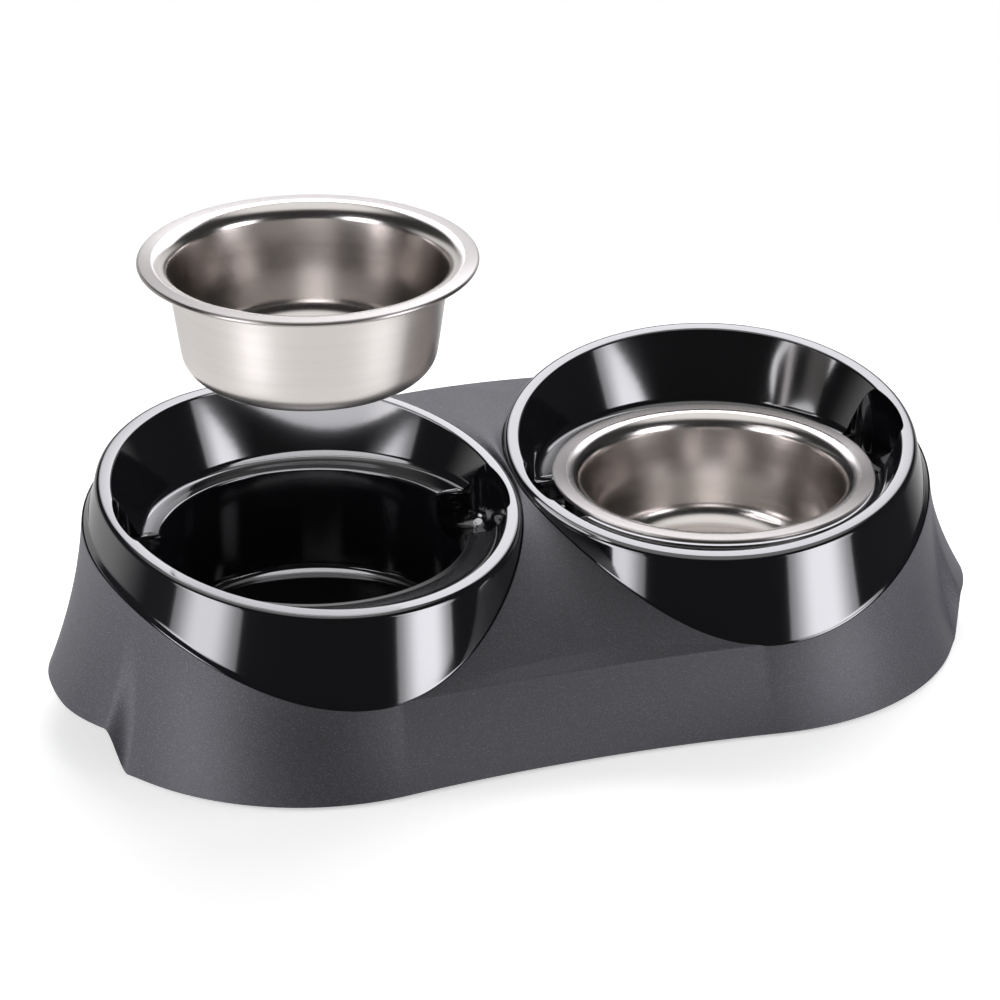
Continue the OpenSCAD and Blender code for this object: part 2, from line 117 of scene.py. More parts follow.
# Distance at which points are welded, and what counts as no length and no area, in metres and their square
WELD = 2e-5
NO_LENGTH = 1e-9
NO_AREA = 1e-18

# Upward parts of the normals that tell a bowl's base, its level faces and its lip apart
BASE_NORMAL = -0.6
LEVEL_NORMAL = 0.5
LIP_NORMAL = -0.3

# Brightness that reflections see in the room: the upward part of the way at which a glow begins and ends,
# with its brightness at both, and the backward part of the way between which the low glow comes in
GLOW_BELOW = (-0.52, -0.38, 1.05, 0.035)
GLOW_LOW = (0.22, 0.36, 0.85, 0.0)
GLOW_OVERHEAD = (0.78, 0.93, 0.0, 1.1)
GLOW_BEHIND = (0.1, 0.7)

WHITE = (1, 1, 1, 1)
CARD_WHITE = (0.955, 0.95, 1.0, 1)
SENSOR_WIDTH = 36
FLOOR_GLOW = 0.5
FLOOR_FADE = (0.42, 0.9)
CARD_POINTS = 3
CARD_EVEN_SHARE = 0.2
CARD_EDGE_GLOW = 0.25

# How far the roughness of the plastics goes up and down, and that of the steel as a share
MATT_SPREAD = 0.04
GLOSS_SPREAD = 0.02
STEEL_SPREAD = 0.15

# How far the turned lines' noise moves along, in metres, for each radian round the axis
AROUND_STEP = 0.0012

# Places of the two colours among the inputs of a mix of colours, and of its result
DARK, LIGHT, BLEND = 6, 7, 2

# Name, direction of the card and of the lamp from the back towards the right, height in degrees,
# distance, width, height, radiance of the lamp, and radiance of its card as reflections see it
SOFTBOXES = (
    ("right_softbox", 141, 108, 2, 1.0, 0.6, 0.84, 5.5, 7.5),
    ("left_softbox", -115, -92, 2, 1.0, 0.56, 0.84, 6.5, 6.0),
    ("back_softbox", 25, 25, 44, 1.25, 1.3, 0.62, 5.6, 5.4),
)


def length(name, default, description):
    """A size in metres."""
    return FloatProperty(name=name, description=description, default=default, unit="LENGTH", precision=4)


def angle(name, degrees, description):
    """An angle, given here in degrees."""
    return FloatProperty(name=name, description=description, default=math.radians(degrees), subtype="ANGLE")


def colour(name, default, description):
    """A linear colour."""
    return FloatVectorProperty(name=name, description=description, default=default, size=3, subtype="COLOR")


def share(name, default, description, top=1.0):
    """A plain number from 0 to top."""
    return FloatProperty(name=name, description=description, default=default, min=0, max=top)


class BowlSettings(bpy.types.PropertyGroup):
    lip_radius: length("Lip radius", 0.0805, "Outer radius of a bowl's lip")
    lip_flat: length("Lip flat", 0.0055, "Width of the flat top of the lip")
    lip_roll: length("Lip roll", 0.0025, "Thickness of the rolled edge")
    height: length("Height", 0.057, "Height of a bowl")
    steel: length("Steel", 0.001, "Thickness of the steel")
    shoulder_run: length("Shoulder run", 0.0085, "Run of the curved shoulder from the lip in to the wall")
    shoulder_drop: length("Shoulder drop", 0.009, "Drop of the curved shoulder")
    wall_lean: angle("Wall lean", 8, "Lean of the wall, in to the base")
    base_bend: length("Base bend", 0.012, "Radius of the bend at the base")
    lift: length("Lift", 0.142, "How far the left bowl is lifted out of its holder")
    tint: colour("Steel tint", (0.66, 0.625, 0.6), "Colour of the stainless steel")
    brushed: share("Brushed roughness", 0.3, "Roughness of the brushed outside")
    # Strength of the painted glow on a bowl's base, which only reflections see
    base_glow: share("Base glow", 4.2, "How bright the base underneath shows in reflections", 10.0)
    lip_finish: share("Lip roughness", 0.36, "Roughness of the brushed lip")
    lip_painted_shade: share("Lip painted shade", 0.55, "Brightness of the brushed lip's steel over that of the rest")
    # The lip's steel is darkened by this share, a painted shade that dims its shine
    polished: share("Polished roughness", 0.2, "Roughness of the polished inside")
    brush_marks: share("Brush marks", 0.35, "Strength of the turned lines outside and on the lip")
    polish_marks: share("Polish marks", 0.08, "Strength of the turned lines inside")


class HolderSettings(bpy.types.PropertyGroup):
    seat_height: length("Seat height", 0.0856, "Height of the ledge that a bowl's lip rests on")
    seat_land: length("Seat land", 0.0062, "Width of the ledge under a seated lip")
    ledge_round: length("Ledge round", 0.0012, "Radius of the ledge's inner edge")
    ledge_slope: length("Ledge slope", 0.0032, "Width of the sloping strip at the ledge's inner edge")
    ledge_fall: length("Ledge fall", 0.00045, "Fall of that strip to the well")
    seat_margin: length("Seat margin", 0.0055, "Width of the ledge outside the lip")
    bank_run: length("Bank run", 0.0095, "Run from the ledge out to the rim")
    bank_foot: length("Bank foot", 0.004, "Length over which the bank turns into the ledge")
    rim_width: length("Rim width", 0.0073, "Width of the rim")
    rim_round: length("Rim round", 0.003, "Radius of the rim's outer edge")
    rim_inner_round: length("Rim inner round", 0.0014, "Radius of the rim's inner edge")
    rim_lean: angle("Rim lean", 9.5, "Angle at which a rim leans down to the front")
    rim_cant: angle("Rim cant", 3.3, "Angle at which a rim leans down to the middle of the stand")
    rim_front_rise: length("Rim front rise", 0.0016, "Height of the rim's front above the ledge")
    rim_setback: length("Rim setback", 0.006, "How far a rim sits behind its bowl")
    inner_flare: share("Inner flare", 0.08, "Slope of the outer wall at its inner side, as run over height")
    outer_flare: share("Outer flare", 0.25, "Slope of the outer wall at its outer side, as run over height")
    flange_width: length("Flange width", 0.0017, "Width of the flange at the foot of the outer wall")
    flange_rise: length("Flange rise", 0.0028, "Height of that flange")
    wall: length("Wall", 0.0024, "Wall of the moulded plastic")
    under_bowl: length("Under bowl", 0.003, "Gap under a seated bowl")
    well_bend: length("Well bend", 0.005, "Radius of the bend at the bottom of the well")
    scoop_half: length("Scoop half", 0.023, "Half of the width of a finger scoop")
    scoop_depth: length("Scoop depth", 0.019, "Depth of a finger scoop below the ledge")
    scoop_bend: length("Scoop bend", 0.008, "Radius of the bend round a scoop's floor")
    scoop_corner: length("Scoop corner", 0.009, "Radius of a scoop's outer corners")
    scoop_edge: length("Scoop edge", 0.003, "Radius of the edge between a scoop and the ledge")
    notch_half: length("Notch half", 0.022, "Half of the length of the notch in the rim")
    notch_bite: length("Notch bite", 0.0022, "Width that the notch takes from the rim")
    tint: colour("Gloss tint", (0.006, 0.0062, 0.008), "Colour of the gloss plastic")
    gloss: share("Gloss roughness", 0.085, "Roughness of the gloss plastic")


class StandSettings(bpy.types.PropertyGroup):
    rim_gap: length("Rim gap", 0.0026, "Gap between the two rims")
    skirt_spread: length("Skirt spread", 0.017, "How far the foot line spreads beyond the rims")
    skirt_shift: length("Skirt shift", 0.0043, "How far each end of the foot line is moved outward")
    waist_in: length("Waist", 0.0064, "Depth of the waist at the middle of the long sides")
    seam_front: length("Seam front", 0.045, "Drop from the rim to the joint line at the front")
    seam_outer: length("Seam outer", 0.0204, "Drop from the rim to the joint line at the outer side")
    seam_inner: length("Seam inner", 0.0018, "Drop from the rim to the joint line at the inner side")
    seam_back: length("Seam back", 0.0164, "Drop from the rim to the joint line at the back")
    edge_width: length("Edge width", 0.0006, "Width of the stand's edge outside a holder's flange")
    edge_reach: length("Edge reach", 0.0009, "Length over which the stand's edges turn")
    crease_in: length("Crease in", 0.0134, "Distance from the foot line in to the front crease")
    crease_rise: length("Crease rise", 0.0013, "Rise of the front crease towards the middle")
    bevel_width: length("Bevel width", 0.0075, "Width of the bevel above the front crease")
    bevel_rise: length("Bevel rise", 0.0049, "Height of the bevel above the front crease")
    back_in: length("Back in", 0.0104, "Distance from the foot line in to the back edge")
    back_rise: length("Back rise", 0.0016, "Rise of the back edge towards the middle")
    grip_rise: length("Grip rise", 0.0202, "Height of the hand grip at each end")
    grip_reach: length("Grip reach", 0.0078, "How far each grip's lip stands out")
    rebate: length("Rebate", 0.004, "Depth of the rebate that a holder's wall stands in")
    shelf: length("Shelf", 0.0019, "Width of the shelf in the rebate")
    fit: length("Fit", 0.0003, "Gap between the stand and a holder's wall")
    tint: colour("Graphite tint", (0.06, 0.058, 0.068), "Colour of the matt plastic")
    matt: share("Matt roughness", 0.5, "Roughness of the matt plastic")


class FootSettings(bpy.types.PropertyGroup):
    drop: length("Drop", 0.0015, "Height of a rubber foot below the stand")
    radius: length("Radius", 0.007, "Radius of a rubber foot")
    socket_depth: length("Socket depth", 0.0035, "Depth of the socket that a foot is pressed into")
    socket_wall: length("Socket wall", 0.0018, "Wall round a socket")
    edge: length("Edge", 0.0006, "Radius of the edge of a foot")
    tint: colour("Rubber tint", (0.28, 0.27, 0.29), "Colour of the rubber")


class StageSettings(bpy.types.PropertyGroup):
    azimuth: angle("Camera azimuth", -18.97, "Direction of the camera round the stand, 0 from the front")
    elevation: angle("Camera elevation", 25.53, "Height of the camera above the horizon")
    roll: angle("Camera roll", -0.1, "Tilt of the camera to the side")
    distance: length("Camera distance", 2.0, "Distance from the camera to the point it looks at")
    focal_ratio: share("Focal ratio", 4.073, "Focal length over the width of the picture", 20.0)
    look_x: length("Look at X", -0.00864, "Place along the stand that the camera looks at")
    look_z: length("Look at Z", 0.08856, "Height of the point that the camera looks at")
    floor_tint: colour("Floor tint", (0.86, 0.86, 0.87), "Colour of the floor")
    floor_radius: length("Floor radius", 0.75, "Radius at which the floor has faded into the background")
    ambient: share("Ambient", 0.18, "Strength of the room's own light", 4.0)


class PetBowlSettings(bpy.types.PropertyGroup):
    bowls: PointerProperty(type=BowlSettings)
    holders: PointerProperty(type=HolderSettings)
    stand: PointerProperty(type=StandSettings)
    feet: PointerProperty(type=FootSettings)
    stage: PointerProperty(type=StageSettings)


def mix(a, b, t):
    return a + (b - a) * t


def ease(x):
    t = np.clip(x, 0, 1)
    return t * t * (3 - 2 * t)


def points(x, y, z):
    return np.stack(np.broadcast_arrays(x, y, z), axis=-1).astype(float)


def arc(centre, radius, start, end, steps):
    """Points of an arc in a profile, by radius and height. Its angles are in degrees."""
    a = np.radians(np.linspace(start, end, steps + 1))
    return [(centre[0] + radius * math.cos(t), centre[1] + radius * math.sin(t)) for t in a]


class Form:
    """The sizes and lines that the pieces share, worked out from the settings."""

    def __init__(self, settings):
        bowls, holders, stand, feet = settings.bowls, settings.holders, settings.stand, settings.feet
        self.bowls, self.holders, self.stand, self.feet = bowls, holders, stand, feet
        self.lip_top = holders.seat_height + bowls.lip_roll
        self.throat = bowls.lip_radius - bowls.lip_roll / 2 - bowls.lip_flat
        self.well_radius = bowls.lip_radius - holders.seat_land
        self.floor_height = self.lip_top - bowls.height - holders.under_bowl
        self.seat_radius = bowls.lip_radius + holders.seat_margin
        self.bank_radius = self.seat_radius + holders.bank_run
        self.rim_radius = self.bank_radius + holders.rim_width
        self.half_spacing = self.rim_radius + stand.rim_gap / 2
        self.lean = math.tan(holders.rim_lean)
        self.cant = math.tan(holders.rim_cant)
        self.rim_height = holders.seat_height + holders.rim_front_rise + self.lean * self.rim_radius
        bank_drop = self.rim_at(0, self.seat_radius - holders.rim_setback) - holders.seat_height
        self.bank_slope = (self.bank_radius + holders.rim_setback - self.seat_radius) / bank_drop
        self.bank_wall = holders.wall * math.hypot(1, self.bank_slope)
        self.scoop_floor = holders.seat_height - holders.scoop_depth
        self.scoop_start = self.well_radius - bowls.shoulder_run
        self.notch_reach = self.bank_radius + holders.notch_bite
        notch_side = math.sqrt(self.bank_radius**2 - holders.notch_half**2)
        self.notch_centre = holders.notch_bite * (self.notch_reach + self.bank_radius)
        self.notch_centre /= 2 * (self.notch_reach - notch_side)
        self.foot_line = feet.drop
        self.skirt_radius = self.rim_radius + stand.skirt_spread
        self.skirt_centre = self.half_spacing + stand.skirt_shift
        self.waist = self.skirt_radius - stand.waist_in
        self.waist_arc = self.skirt_centre**2 + self.waist**2 - self.skirt_radius**2
        self.waist_arc /= 2 * (self.skirt_radius - self.waist)
        self.waist_angle = math.pi / 2 + math.atan(self.skirt_centre / (self.waist_arc + self.waist))
        self.waist_reach = self.skirt_centre + self.skirt_radius * math.cos(self.waist_angle)
        self.tip_front = self.seam_edge(-self.waist_angle)
        self.tip_back = self.seam_edge(BACK_MEET)
        self.middle_crease = points(0, stand.crease_in - self.waist, self.tip_front[2] + stand.crease_rise)
        self.middle_bevel = self.middle_crease + points(0, stand.bevel_width, stand.bevel_rise)
        self.middle_back = points(0, self.waist - stand.back_in, self.tip_back[2] + stand.back_rise)

    def rim_at(self, x, y):
        """Height of the rim's plane at x outward and y backward from its middle."""
        return self.rim_height + self.lean * y + self.cant * x

    def seam_drop(self, a):
        """Drop from the rim to the joint line."""
        outward = np.cos(a) > 0
        side = np.where(outward, self.stand.seam_outer, self.stand.seam_inner)
        power = np.where(outward, OUTER_POWER, INNER_POWER)
        front = side + (self.stand.seam_front - side) * np.maximum(-np.sin(a), 0) ** power
        back = side + (self.stand.seam_back - side) * np.sin(a) ** 2
        return np.where(np.sin(a) < 0, front, back)

    def flare_at(self, a):
        """Slope of a holder's outer wall."""
        return mix(self.holders.inner_flare, self.holders.outer_flare, ((1 + np.cos(a)) / 2) ** 2)

    def seam_point(self, a, out, up):
        """A point out from the holder's wall and up from the joint line."""
        drop, flare = self.seam_drop(a), self.flare_at(a)
        at_seam = self.rim_radius + flare * drop
        height = self.rim_at(at_seam * np.cos(a), at_seam * np.sin(a)) - drop + up
        r = at_seam - flare * up + out
        return points(self.half_spacing + r * np.cos(a), self.holders.rim_setback + r * np.sin(a), height)

    def narrowed(self, a, width):
        """A width that is full at the outer side and almost nothing at the front."""
        return width * mix(LEAST_SHARE, 1, np.maximum(np.cos(a), 0))

    def flange_at(self, a):
        return self.narrowed(a, self.holders.flange_width)

    def seam_edge(self, a):
        edge = self.holders.flange_width + self.stand.edge_width
        return self.seam_point(a, self.narrowed(a, edge) + self.stand.fit, 0)

    def rebate_chain(self, a):
        """From the inner skin's top over the rebate's shelf and up its wall."""
        stand = self.stand
        gap = self.flange_at(a) + stand.fit
        return [
            self.seam_point(a, -stand.shelf, -stand.rebate - self.holders.wall),
            self.seam_point(a, -stand.shelf, -stand.rebate),
            self.seam_point(a, gap, -stand.rebate),
            self.seam_point(a, gap, 0),
        ]

    def end_point(self, a, inset):
        """The foot line round an end of the stand, with its raised grip."""
        stand = self.stand
        lip = 1 - ease((abs(a) - REACH_ANGLE) / (REACH_END_ANGLE - REACH_ANGLE))
        climb = 1 - ease((abs(a) - RISE_ANGLE) / (RISE_END_ANGLE - RISE_ANGLE))
        r = self.skirt_radius + stand.grip_reach * lip - inset
        height = self.foot_line + stand.grip_rise * climb
        return points(self.skirt_centre + r * np.cos(a), r * np.sin(a), height)

    def waist_point(self, x, side, inset):
        """The foot line along a long side."""
        y = self.waist_arc + self.waist - np.sqrt(self.waist_arc**2 - x**2)
        return points(x, side * (y - inset), self.foot_line)

    def bowed(self, tip, middle, t):
        """A line that bows from the joint line to the middle of the stand."""
        back = (1 - t) ** 2
        return points(mix(tip[0], 0, t), mix(middle[1], tip[1], back), mix(middle[2], tip[2], back))

    def spine(self, t):
        """The middle of the saddle between the holders, from the front to the back."""
        seam_y = self.seam_edge(mix(SADDLE_FRONT, SADDLE_BACK, t))[..., 1]
        front_gap = self.middle_bevel[1] - self.seam_edge(SADDLE_FRONT)[1]
        back_gap = self.middle_back[1] - self.seam_edge(SADDLE_BACK)[1]
        y = seam_y + (1 - 2 * t) ** 2 * np.where(t < 0.5, front_gap, back_gap)
        way = (y - self.middle_bevel[1]) / (self.middle_back[1] - self.middle_bevel[1])
        rise = 1 - (1 - np.clip(way, 0, 1)) ** SADDLE_POWER
        return points(0, y, mix(self.middle_bevel[2], self.middle_back[2], rise))

    def seam_foot(self, a, inset):
        """The foot under a point of the joint line, from the front tip round the end to the back tip."""
        way = (a - self.waist_angle) / (BACK_MEET - self.waist_angle)
        along_back = self.waist_point(mix(self.waist_reach, self.tip_back[0], way), 1, inset)
        return np.where((a <= self.waist_angle)[:, None], self.end_point(a, inset), along_back)

    def rim_point(self, a, r, h):
        x, y = r * np.cos(a), r * np.sin(a)
        return points(self.half_spacing + x, self.holders.rim_setback + y, self.rim_at(x, y) + h)

    def level_point(self, a, r, z):
        return points(self.half_spacing + r * np.cos(a), self.holders.rim_setback + r * np.sin(a), z)

    def spun_point(self, a, r, z):
        """A point round the axis of a bowl."""
        return points(self.half_spacing + r * np.cos(a), r * np.sin(a), z)

    def bank_at(self, a, r, z):
        """Radius at which a wall from radius r at the rim is down at height z."""
        fall = self.lean * np.sin(a) + self.cant * np.cos(a) + 1 / self.bank_slope
        return (z - self.rim_height + r / self.bank_slope) / fall

    def foot_place(self, side):
        """Middle of a foot on the right half of the stand, at the front or at the back."""
        a = np.array([side * FOOT_ANGLE])
        top, foot = self.rebate_chain(a)[0][0], self.end_point(a, self.holders.wall)[0]
        depth = self.feet.socket_depth + self.holders.wall
        place = skirt_point(top, foot, 1 - depth / (top[2] - foot[2]))
        out = place[:2] - (self.skirt_centre, 0)
        reach = self.feet.radius + self.feet.socket_wall - self.holders.wall / 2
        return np.array((self.skirt_centre, 0)) + out * (1 - reach / np.linalg.norm(out))


def skirt_point(top, foot, t):
    """A skirt line drops from its top and turns outward to its foot."""
    out = SKIRT_STRAIGHT_SHARE * t + (1 - SKIRT_STRAIGHT_SHARE) * t * t
    return top + (foot - top) * np.array((out, out, t))


def skirt_lines(top, foot, rows):
    return [skirt_point(top, foot, j / rows) for j in range(1, rows)]


def turn(before, corner, after, reach, steps):
    """Lines of a round edge in place of a sharp corner between three lines of points."""
    ends = []
    for way in (before - corner, after - corner):
        size = np.linalg.norm(way, axis=-1, keepdims=True)
        ends.append(corner + way * np.minimum(reach / size, CORNER_SHARE))
    start, end = ends
    ways = np.linspace(0, 1, steps + 1)
    return [(1 - t) ** 2 * start + 2 * t * (1 - t) * corner + t * t * end for t in ways]


def running_mean(rib, places, reach):
    """Points of a polyline at some places along it, each averaged over the reach on both sides."""
    apart = np.linalg.norm(np.diff(rib, axis=0), axis=1) > NO_LENGTH
    rib = rib[np.append(True, apart)]
    step = np.diff(rib, axis=0)
    size = np.linalg.norm(step, axis=1)
    unit = step / size[:, None]
    along = np.append(0, np.cumsum(size))
    total = np.vstack([np.zeros(3), np.cumsum((rib[1:] + rib[:-1]) / 2 * size[:, None], axis=0)])

    def integral(s):
        i = np.clip(np.searchsorted(along, s, side="right") - 1, 0, len(size) - 1)
        past = (s - along[i])[:, None]
        return total[i] + rib[i] * past + unit[i] * past**2 / 2

    return (integral(places + reach) - integral(places - reach)) / (2 * reach)


def softened(ribs, marks, counts, reach):
    """Ribs whose marked corners are rounded, with a count of points for each stretch between two marks."""
    made = []
    for rib in ribs:
        along = np.append(0, np.cumsum(np.linalg.norm(np.diff(rib, axis=0), axis=1)))
        places = []
        for i, j, count in zip(marks, marks[1:], counts):
            start, end = along[i], along[j]
            band = min(reach, (end - start) / 3)
            places.extend(start + NEAR_POINTS * band)
            clear = NEAR_POINTS[-1] * band
            places.extend(np.linspace(start + clear, end - clear, count + 1)[1:-1])
            places.extend(end - NEAR_POINTS[:0:-1] * band)
        places.append(along[marks[-1]])
        made.append(running_mean(rib, np.array(places), reach))
    return np.array(made)


def softened_count(counts):
    """How many points a softened rib has."""
    return sum(count + 2 * len(NEAR_POINTS) - 2 for count in counts) + 1


def grid_faces(rows, columns, offset, loop_rows, loop_columns):
    """Quads between the rows and columns of a grid of points."""
    faces = []
    for i in range(rows if loop_rows else rows - 1):
        for j in range(columns if loop_columns else columns - 1):
            a, b = i * columns, (i + 1) % rows * columns
            k = (j + 1) % columns
            faces.append((offset + a + j, offset + b + j, offset + b + k, offset + a + k))
    return faces


class Shell:
    """Vertices and faces that are gathered patch by patch, then welded into a mesh."""

    def __init__(self):
        self.places, self.faces = [], []

    def add(self, grid, loop_rows=False, loop_columns=False):
        grid = np.asarray(grid, float)
        rows, columns = grid.shape[:2]
        self.faces += grid_faces(rows, columns, len(self.places), loop_rows, loop_columns)
        self.places += [tuple(p) for p in grid.reshape(-1, 3)]

    def add_mirrored(self):
        offset = len(self.places)
        self.places += [(-x, y, z) for x, y, z in self.places]
        self.faces += [tuple(offset + k for k in reversed(f)) for f in self.faces]

    def mesh(self, name, middle=(0, 0, 0)):
        """The welded mesh with smooth faces, its points given from the middle."""
        made = bpy.data.meshes.new(name)
        made.from_pydata([tuple(np.subtract(p, middle)) for p in self.places], [], self.faces)
        work = bmesh.new()
        work.from_mesh(made)
        bmesh.ops.remove_doubles(work, verts=work.verts, dist=WELD)
        bmesh.ops.dissolve_degenerate(work, edges=work.edges, dist=WELD / 4)
        bmesh.ops.delete(work, geom=[e for e in work.edges if e.is_wire], context="EDGES")
        bmesh.ops.recalc_face_normals(work, faces=work.faces)
        if work.calc_volume(signed=True) < 0:
            bmesh.ops.reverse_faces(work, faces=work.faces)
        work.to_mesh(made)
        work.free()
        made.shade_smooth()
        return made


def new_object(name, data, middle=(0, 0, 0)):
    made = bpy.data.objects.new(name, data)
    made.location = middle
    bpy.context.scene.collection.objects.link(made)
    return made


def spun(profile, columns, middle_xy):
    """A grid of points from a profile by radius and height, round an upright axis."""
    a = np.linspace(0, TURN, columns, endpoint=False)
    profile = np.array(profile)
    x = middle_xy[0] + profile[:, 0, None] * np.cos(a)
    y = middle_xy[1] + profile[:, 0, None] * np.sin(a)
    return points(x, y, profile[:, 1, None])


def stand_stations(form):
    """Angles of the ribs round the outside of a holder, closer together where the grip's edge climbs."""
    marks = [
        (-form.waist_angle, -RISE_END_ANGLE, SEAM_STEP),
        (-RISE_END_ANGLE, -RISE_ANGLE, RISE_STEP),
        (-RISE_ANGLE, RISE_ANGLE, SEAM_STEP),
        (RISE_ANGLE, RISE_END_ANGLE, RISE_STEP),
        (RISE_END_ANGLE, BACK_MEET, SEAM_STEP),
    ]
    parts = [np.linspace(a, b, round((b - a) / step), endpoint=False) for a, b, step in marks]
    return np.append(np.concatenate(parts), BACK_MEET)


def stand_patch(form, a, lines, feet, inner_lines):
    """One patch of closed ribs: up the rebate's wall, over the edge, saddle and skirt, and back inside.
    The lines are the bevel and the crease, or one line twice. The feet are the outer and the inner one."""
    chain = form.rebate_chain(a)
    skirt = skirt_lines(lines[1], feet[0], SKIRT_ROWS)
    ribs = np.stack([chain[2], chain[3], form.seam_edge(a), *lines, *skirt, *feet], axis=1)
    last = ribs.shape[1] - 1
    marks = [0, 2, 3, 4, last - 1, last]
    ribs = softened(ribs, marks, [*SADDLE_COUNTS, BEVEL_ROWS, SKIRT_ROWS, 1], form.stand.edge_reach)
    inside = skirt_lines(inner_lines[1], feet[1], INNER_ROWS)[::-1]
    inside += [inner_lines[1], inner_lines[0], chain[0], chain[1]]
    return np.concatenate([ribs, np.stack(inside, axis=1)], axis=1)


def sunk(line, form, inward=0):
    """A line of points on the inner skin, under a line on the outer one."""
    return line - points(0, inward * form.holders.wall, form.holders.wall)


def middle_patch(form, a, x, side, lines, inward):
    """The patch from a tip of the joint line to the middle of a long side, where its last rib lies."""
    tip = form.rebate_chain(a[:1])[0]
    inner = [np.concatenate([tip, sunk(line, form, way)[1:]]) for line, way in zip(lines, inward)]
    feet = [form.waist_point(x, side, inset) for inset in (0, form.holders.wall)]
    patch = stand_patch(form, a, lines, feet, inner)
    across = patch[-1, softened_count(SADDLE_COUNTS) - 1 :]
    across[:, 0] *= np.abs(across[:, 0]) > 2 * form.stand.edge_reach
    return patch


def stand_half(form):
    """The right half of the stand's moulded shell."""
    shell = Shell()
    a = stand_stations(form)
    edge, inner = form.seam_edge(a), form.rebate_chain(a)[0]
    feet = [form.seam_foot(a, inset) for inset in (0, form.holders.wall)]
    shell.add(stand_patch(form, a, (edge, edge), feet, (inner, inner)), loop_columns=True)

    t = np.linspace(0, 1, CREASE_STATIONS + 1) ** CREASE_CROWDING
    a = mix(-form.waist_angle, SADDLE_FRONT, t)
    lines = [form.bowed(form.tip_front, middle, t) for middle in (form.middle_bevel, form.middle_crease)]
    front = middle_patch(form, a, mix(form.waist_reach, 0, t), -1, lines, (0, -1))
    shell.add(front, loop_columns=True)

    t = np.linspace(0, 1, BACK_STATIONS + 1)
    a = mix(BACK_MEET - TURN, SADDLE_BACK, t)
    line = form.bowed(form.tip_back, form.middle_back, t)
    back = middle_patch(form, a, mix(form.tip_back[0], 0, t), 1, (line, line), (1, 1))
    shell.add(back, loop_columns=True)

    t = np.linspace(0, 1, SPINE_STATIONS + 1)
    a = mix(SADDLE_FRONT, SADDLE_BACK, t)
    chain, spine = form.rebate_chain(a), form.spine(t)
    ribs = np.stack([chain[2], chain[3], form.seam_edge(a), spine], axis=1)
    ribs = crowned(softened(ribs, [0, 2, 3], SADDLE_COUNTS, form.stand.edge_reach), t)
    count = softened_count(SADDLE_COUNTS)
    ribs[0], ribs[-1] = front[-1, :count], back[-1, :count]
    under = np.stack([sunk(spine, form), chain[0], chain[1]], axis=1)
    shell.add(np.concatenate([under, ribs], axis=1))
    return shell


def crowned(ribs, t):
    """Rounds the saddle's ribs where they meet over the middle, all but the first and the last."""
    end, before, edge = ribs[:, -1], ribs[:, -2], ribs[:, 0]
    slope = (end[:, 2] - before[:, 2]) / (end[:, 0] - before[:, 0])
    reach = CROWN * edge[:, 0] * ease(np.minimum(t, 1 - t) / CROWN_FADE) + WELD
    near = np.clip(1 - ribs[:, :, 0] / reach[:, None], 0, 1)
    ribs[:, :, 2] += (slope * reach)[:, None] * near**2 / 2
    return ribs


def scoop_outline(form, side, inset, flare, start=None):
    """A finger scoop from above, relative to its bowl's axis, round from the middle of its inner end,
    which lies on a circle round the axis."""
    holders = form.holders
    half = holders.scoop_half - inset
    r = form.notch_reach - form.notch_centre - inset
    corner = holders.scoop_corner - inset
    swing = math.degrees(math.asin((half - corner) / (r - corner)))
    corner_x = form.notch_centre + (r - corner) * math.cos(math.radians(swing))
    edge = [min(bank_foot(form, side, y), corner_x - holders.scoop_edge / 2) for y in (-half, half)]
    start = start or form.scoop_start
    spread = math.degrees(math.asin((half + flare) / start))
    outline = arc((0, 0), start, 0, -spread, EDGE_STEPS)
    outline += [(edge[0], -half - flare)]
    outline += arc((corner_x, corner - half), corner, -90, -swing, ARC_STEPS)
    outline += arc((form.notch_centre, 0), r, -swing, swing, 2 * ARC_STEPS)[1:-1]
    outline += arc((corner_x, half - corner), corner, swing, 90, ARC_STEPS)
    outline += [(edge[1], half + flare)]
    outline += arc((0, 0), start, spread, 0, EDGE_STEPS)[:-1]
    return outline if side > 0 else [(-x, y) for x, y in outline[:1] + outline[:0:-1]]


def bank_foot(form, side, y):
    """How far out from a bowl's axis the ledge meets the bank, at y behind the axis."""
    back = y - form.holders.rim_setback
    cant = side * form.cant * form.bank_slope
    level = form.bank_radius - form.bank_slope * (form.rim_at(0, back) - form.holders.seat_height)
    rest = 1 - cant**2
    return (math.sqrt((level * cant) ** 2 + rest * (level**2 - back**2)) - level * cant) / rest


def top_height(form, x, y):
    """Height of the ledge, the bank or the rim over a point beside a bowl's axis."""
    back = y - form.holders.rim_setback
    below_rim = max(0, form.bank_radius - math.hypot(x, back)) / form.bank_slope
    return max(form.holders.seat_height, form.rim_at(x, back) - below_rim)


def scoop_rings(form, side, grow, start=None):
    """Rings of the bend round a scoop's floor, from its lowest."""
    bend = form.holders.scoop_bend + grow
    rings = []
    for a in np.linspace(0, math.pi / 2, ARC_STEPS + 1):
        z = form.scoop_floor - grow + bend * (1 - math.cos(a))
        outline = scoop_outline(form, side, bend * (1 - math.sin(a)) - grow, 0, start)
        rings.append([(form.half_spacing + x, y, z) for x, y in outline])
    return rings


def lofted(name, rings):
    """A closed mesh through rings of points. Its ends are closed in strips across the rings."""
    shell = Shell()
    shell.add(rings, loop_columns=True)
    count = len(rings[0])
    for start in (0, count * (len(rings) - 1)):
        for j in range(count // 2):
            strip = [j, j + 1, count - 1 - j, (count - j) % count]
            shell.faces.append(tuple(start + k for k in dict.fromkeys(strip)))
    return shell.mesh(name)


def scoop_wall(form, side):
    wall = form.holders.wall
    start = form.well_radius + wall / 2
    rings = scoop_rings(form, side, wall, start)
    top = scoop_outline(form, side, -wall, 0, start)
    rings.append([(form.half_spacing + x, y, top_height(form, x, y) - wall / 2) for x, y in top])
    return lofted("scoop_wall", rings)


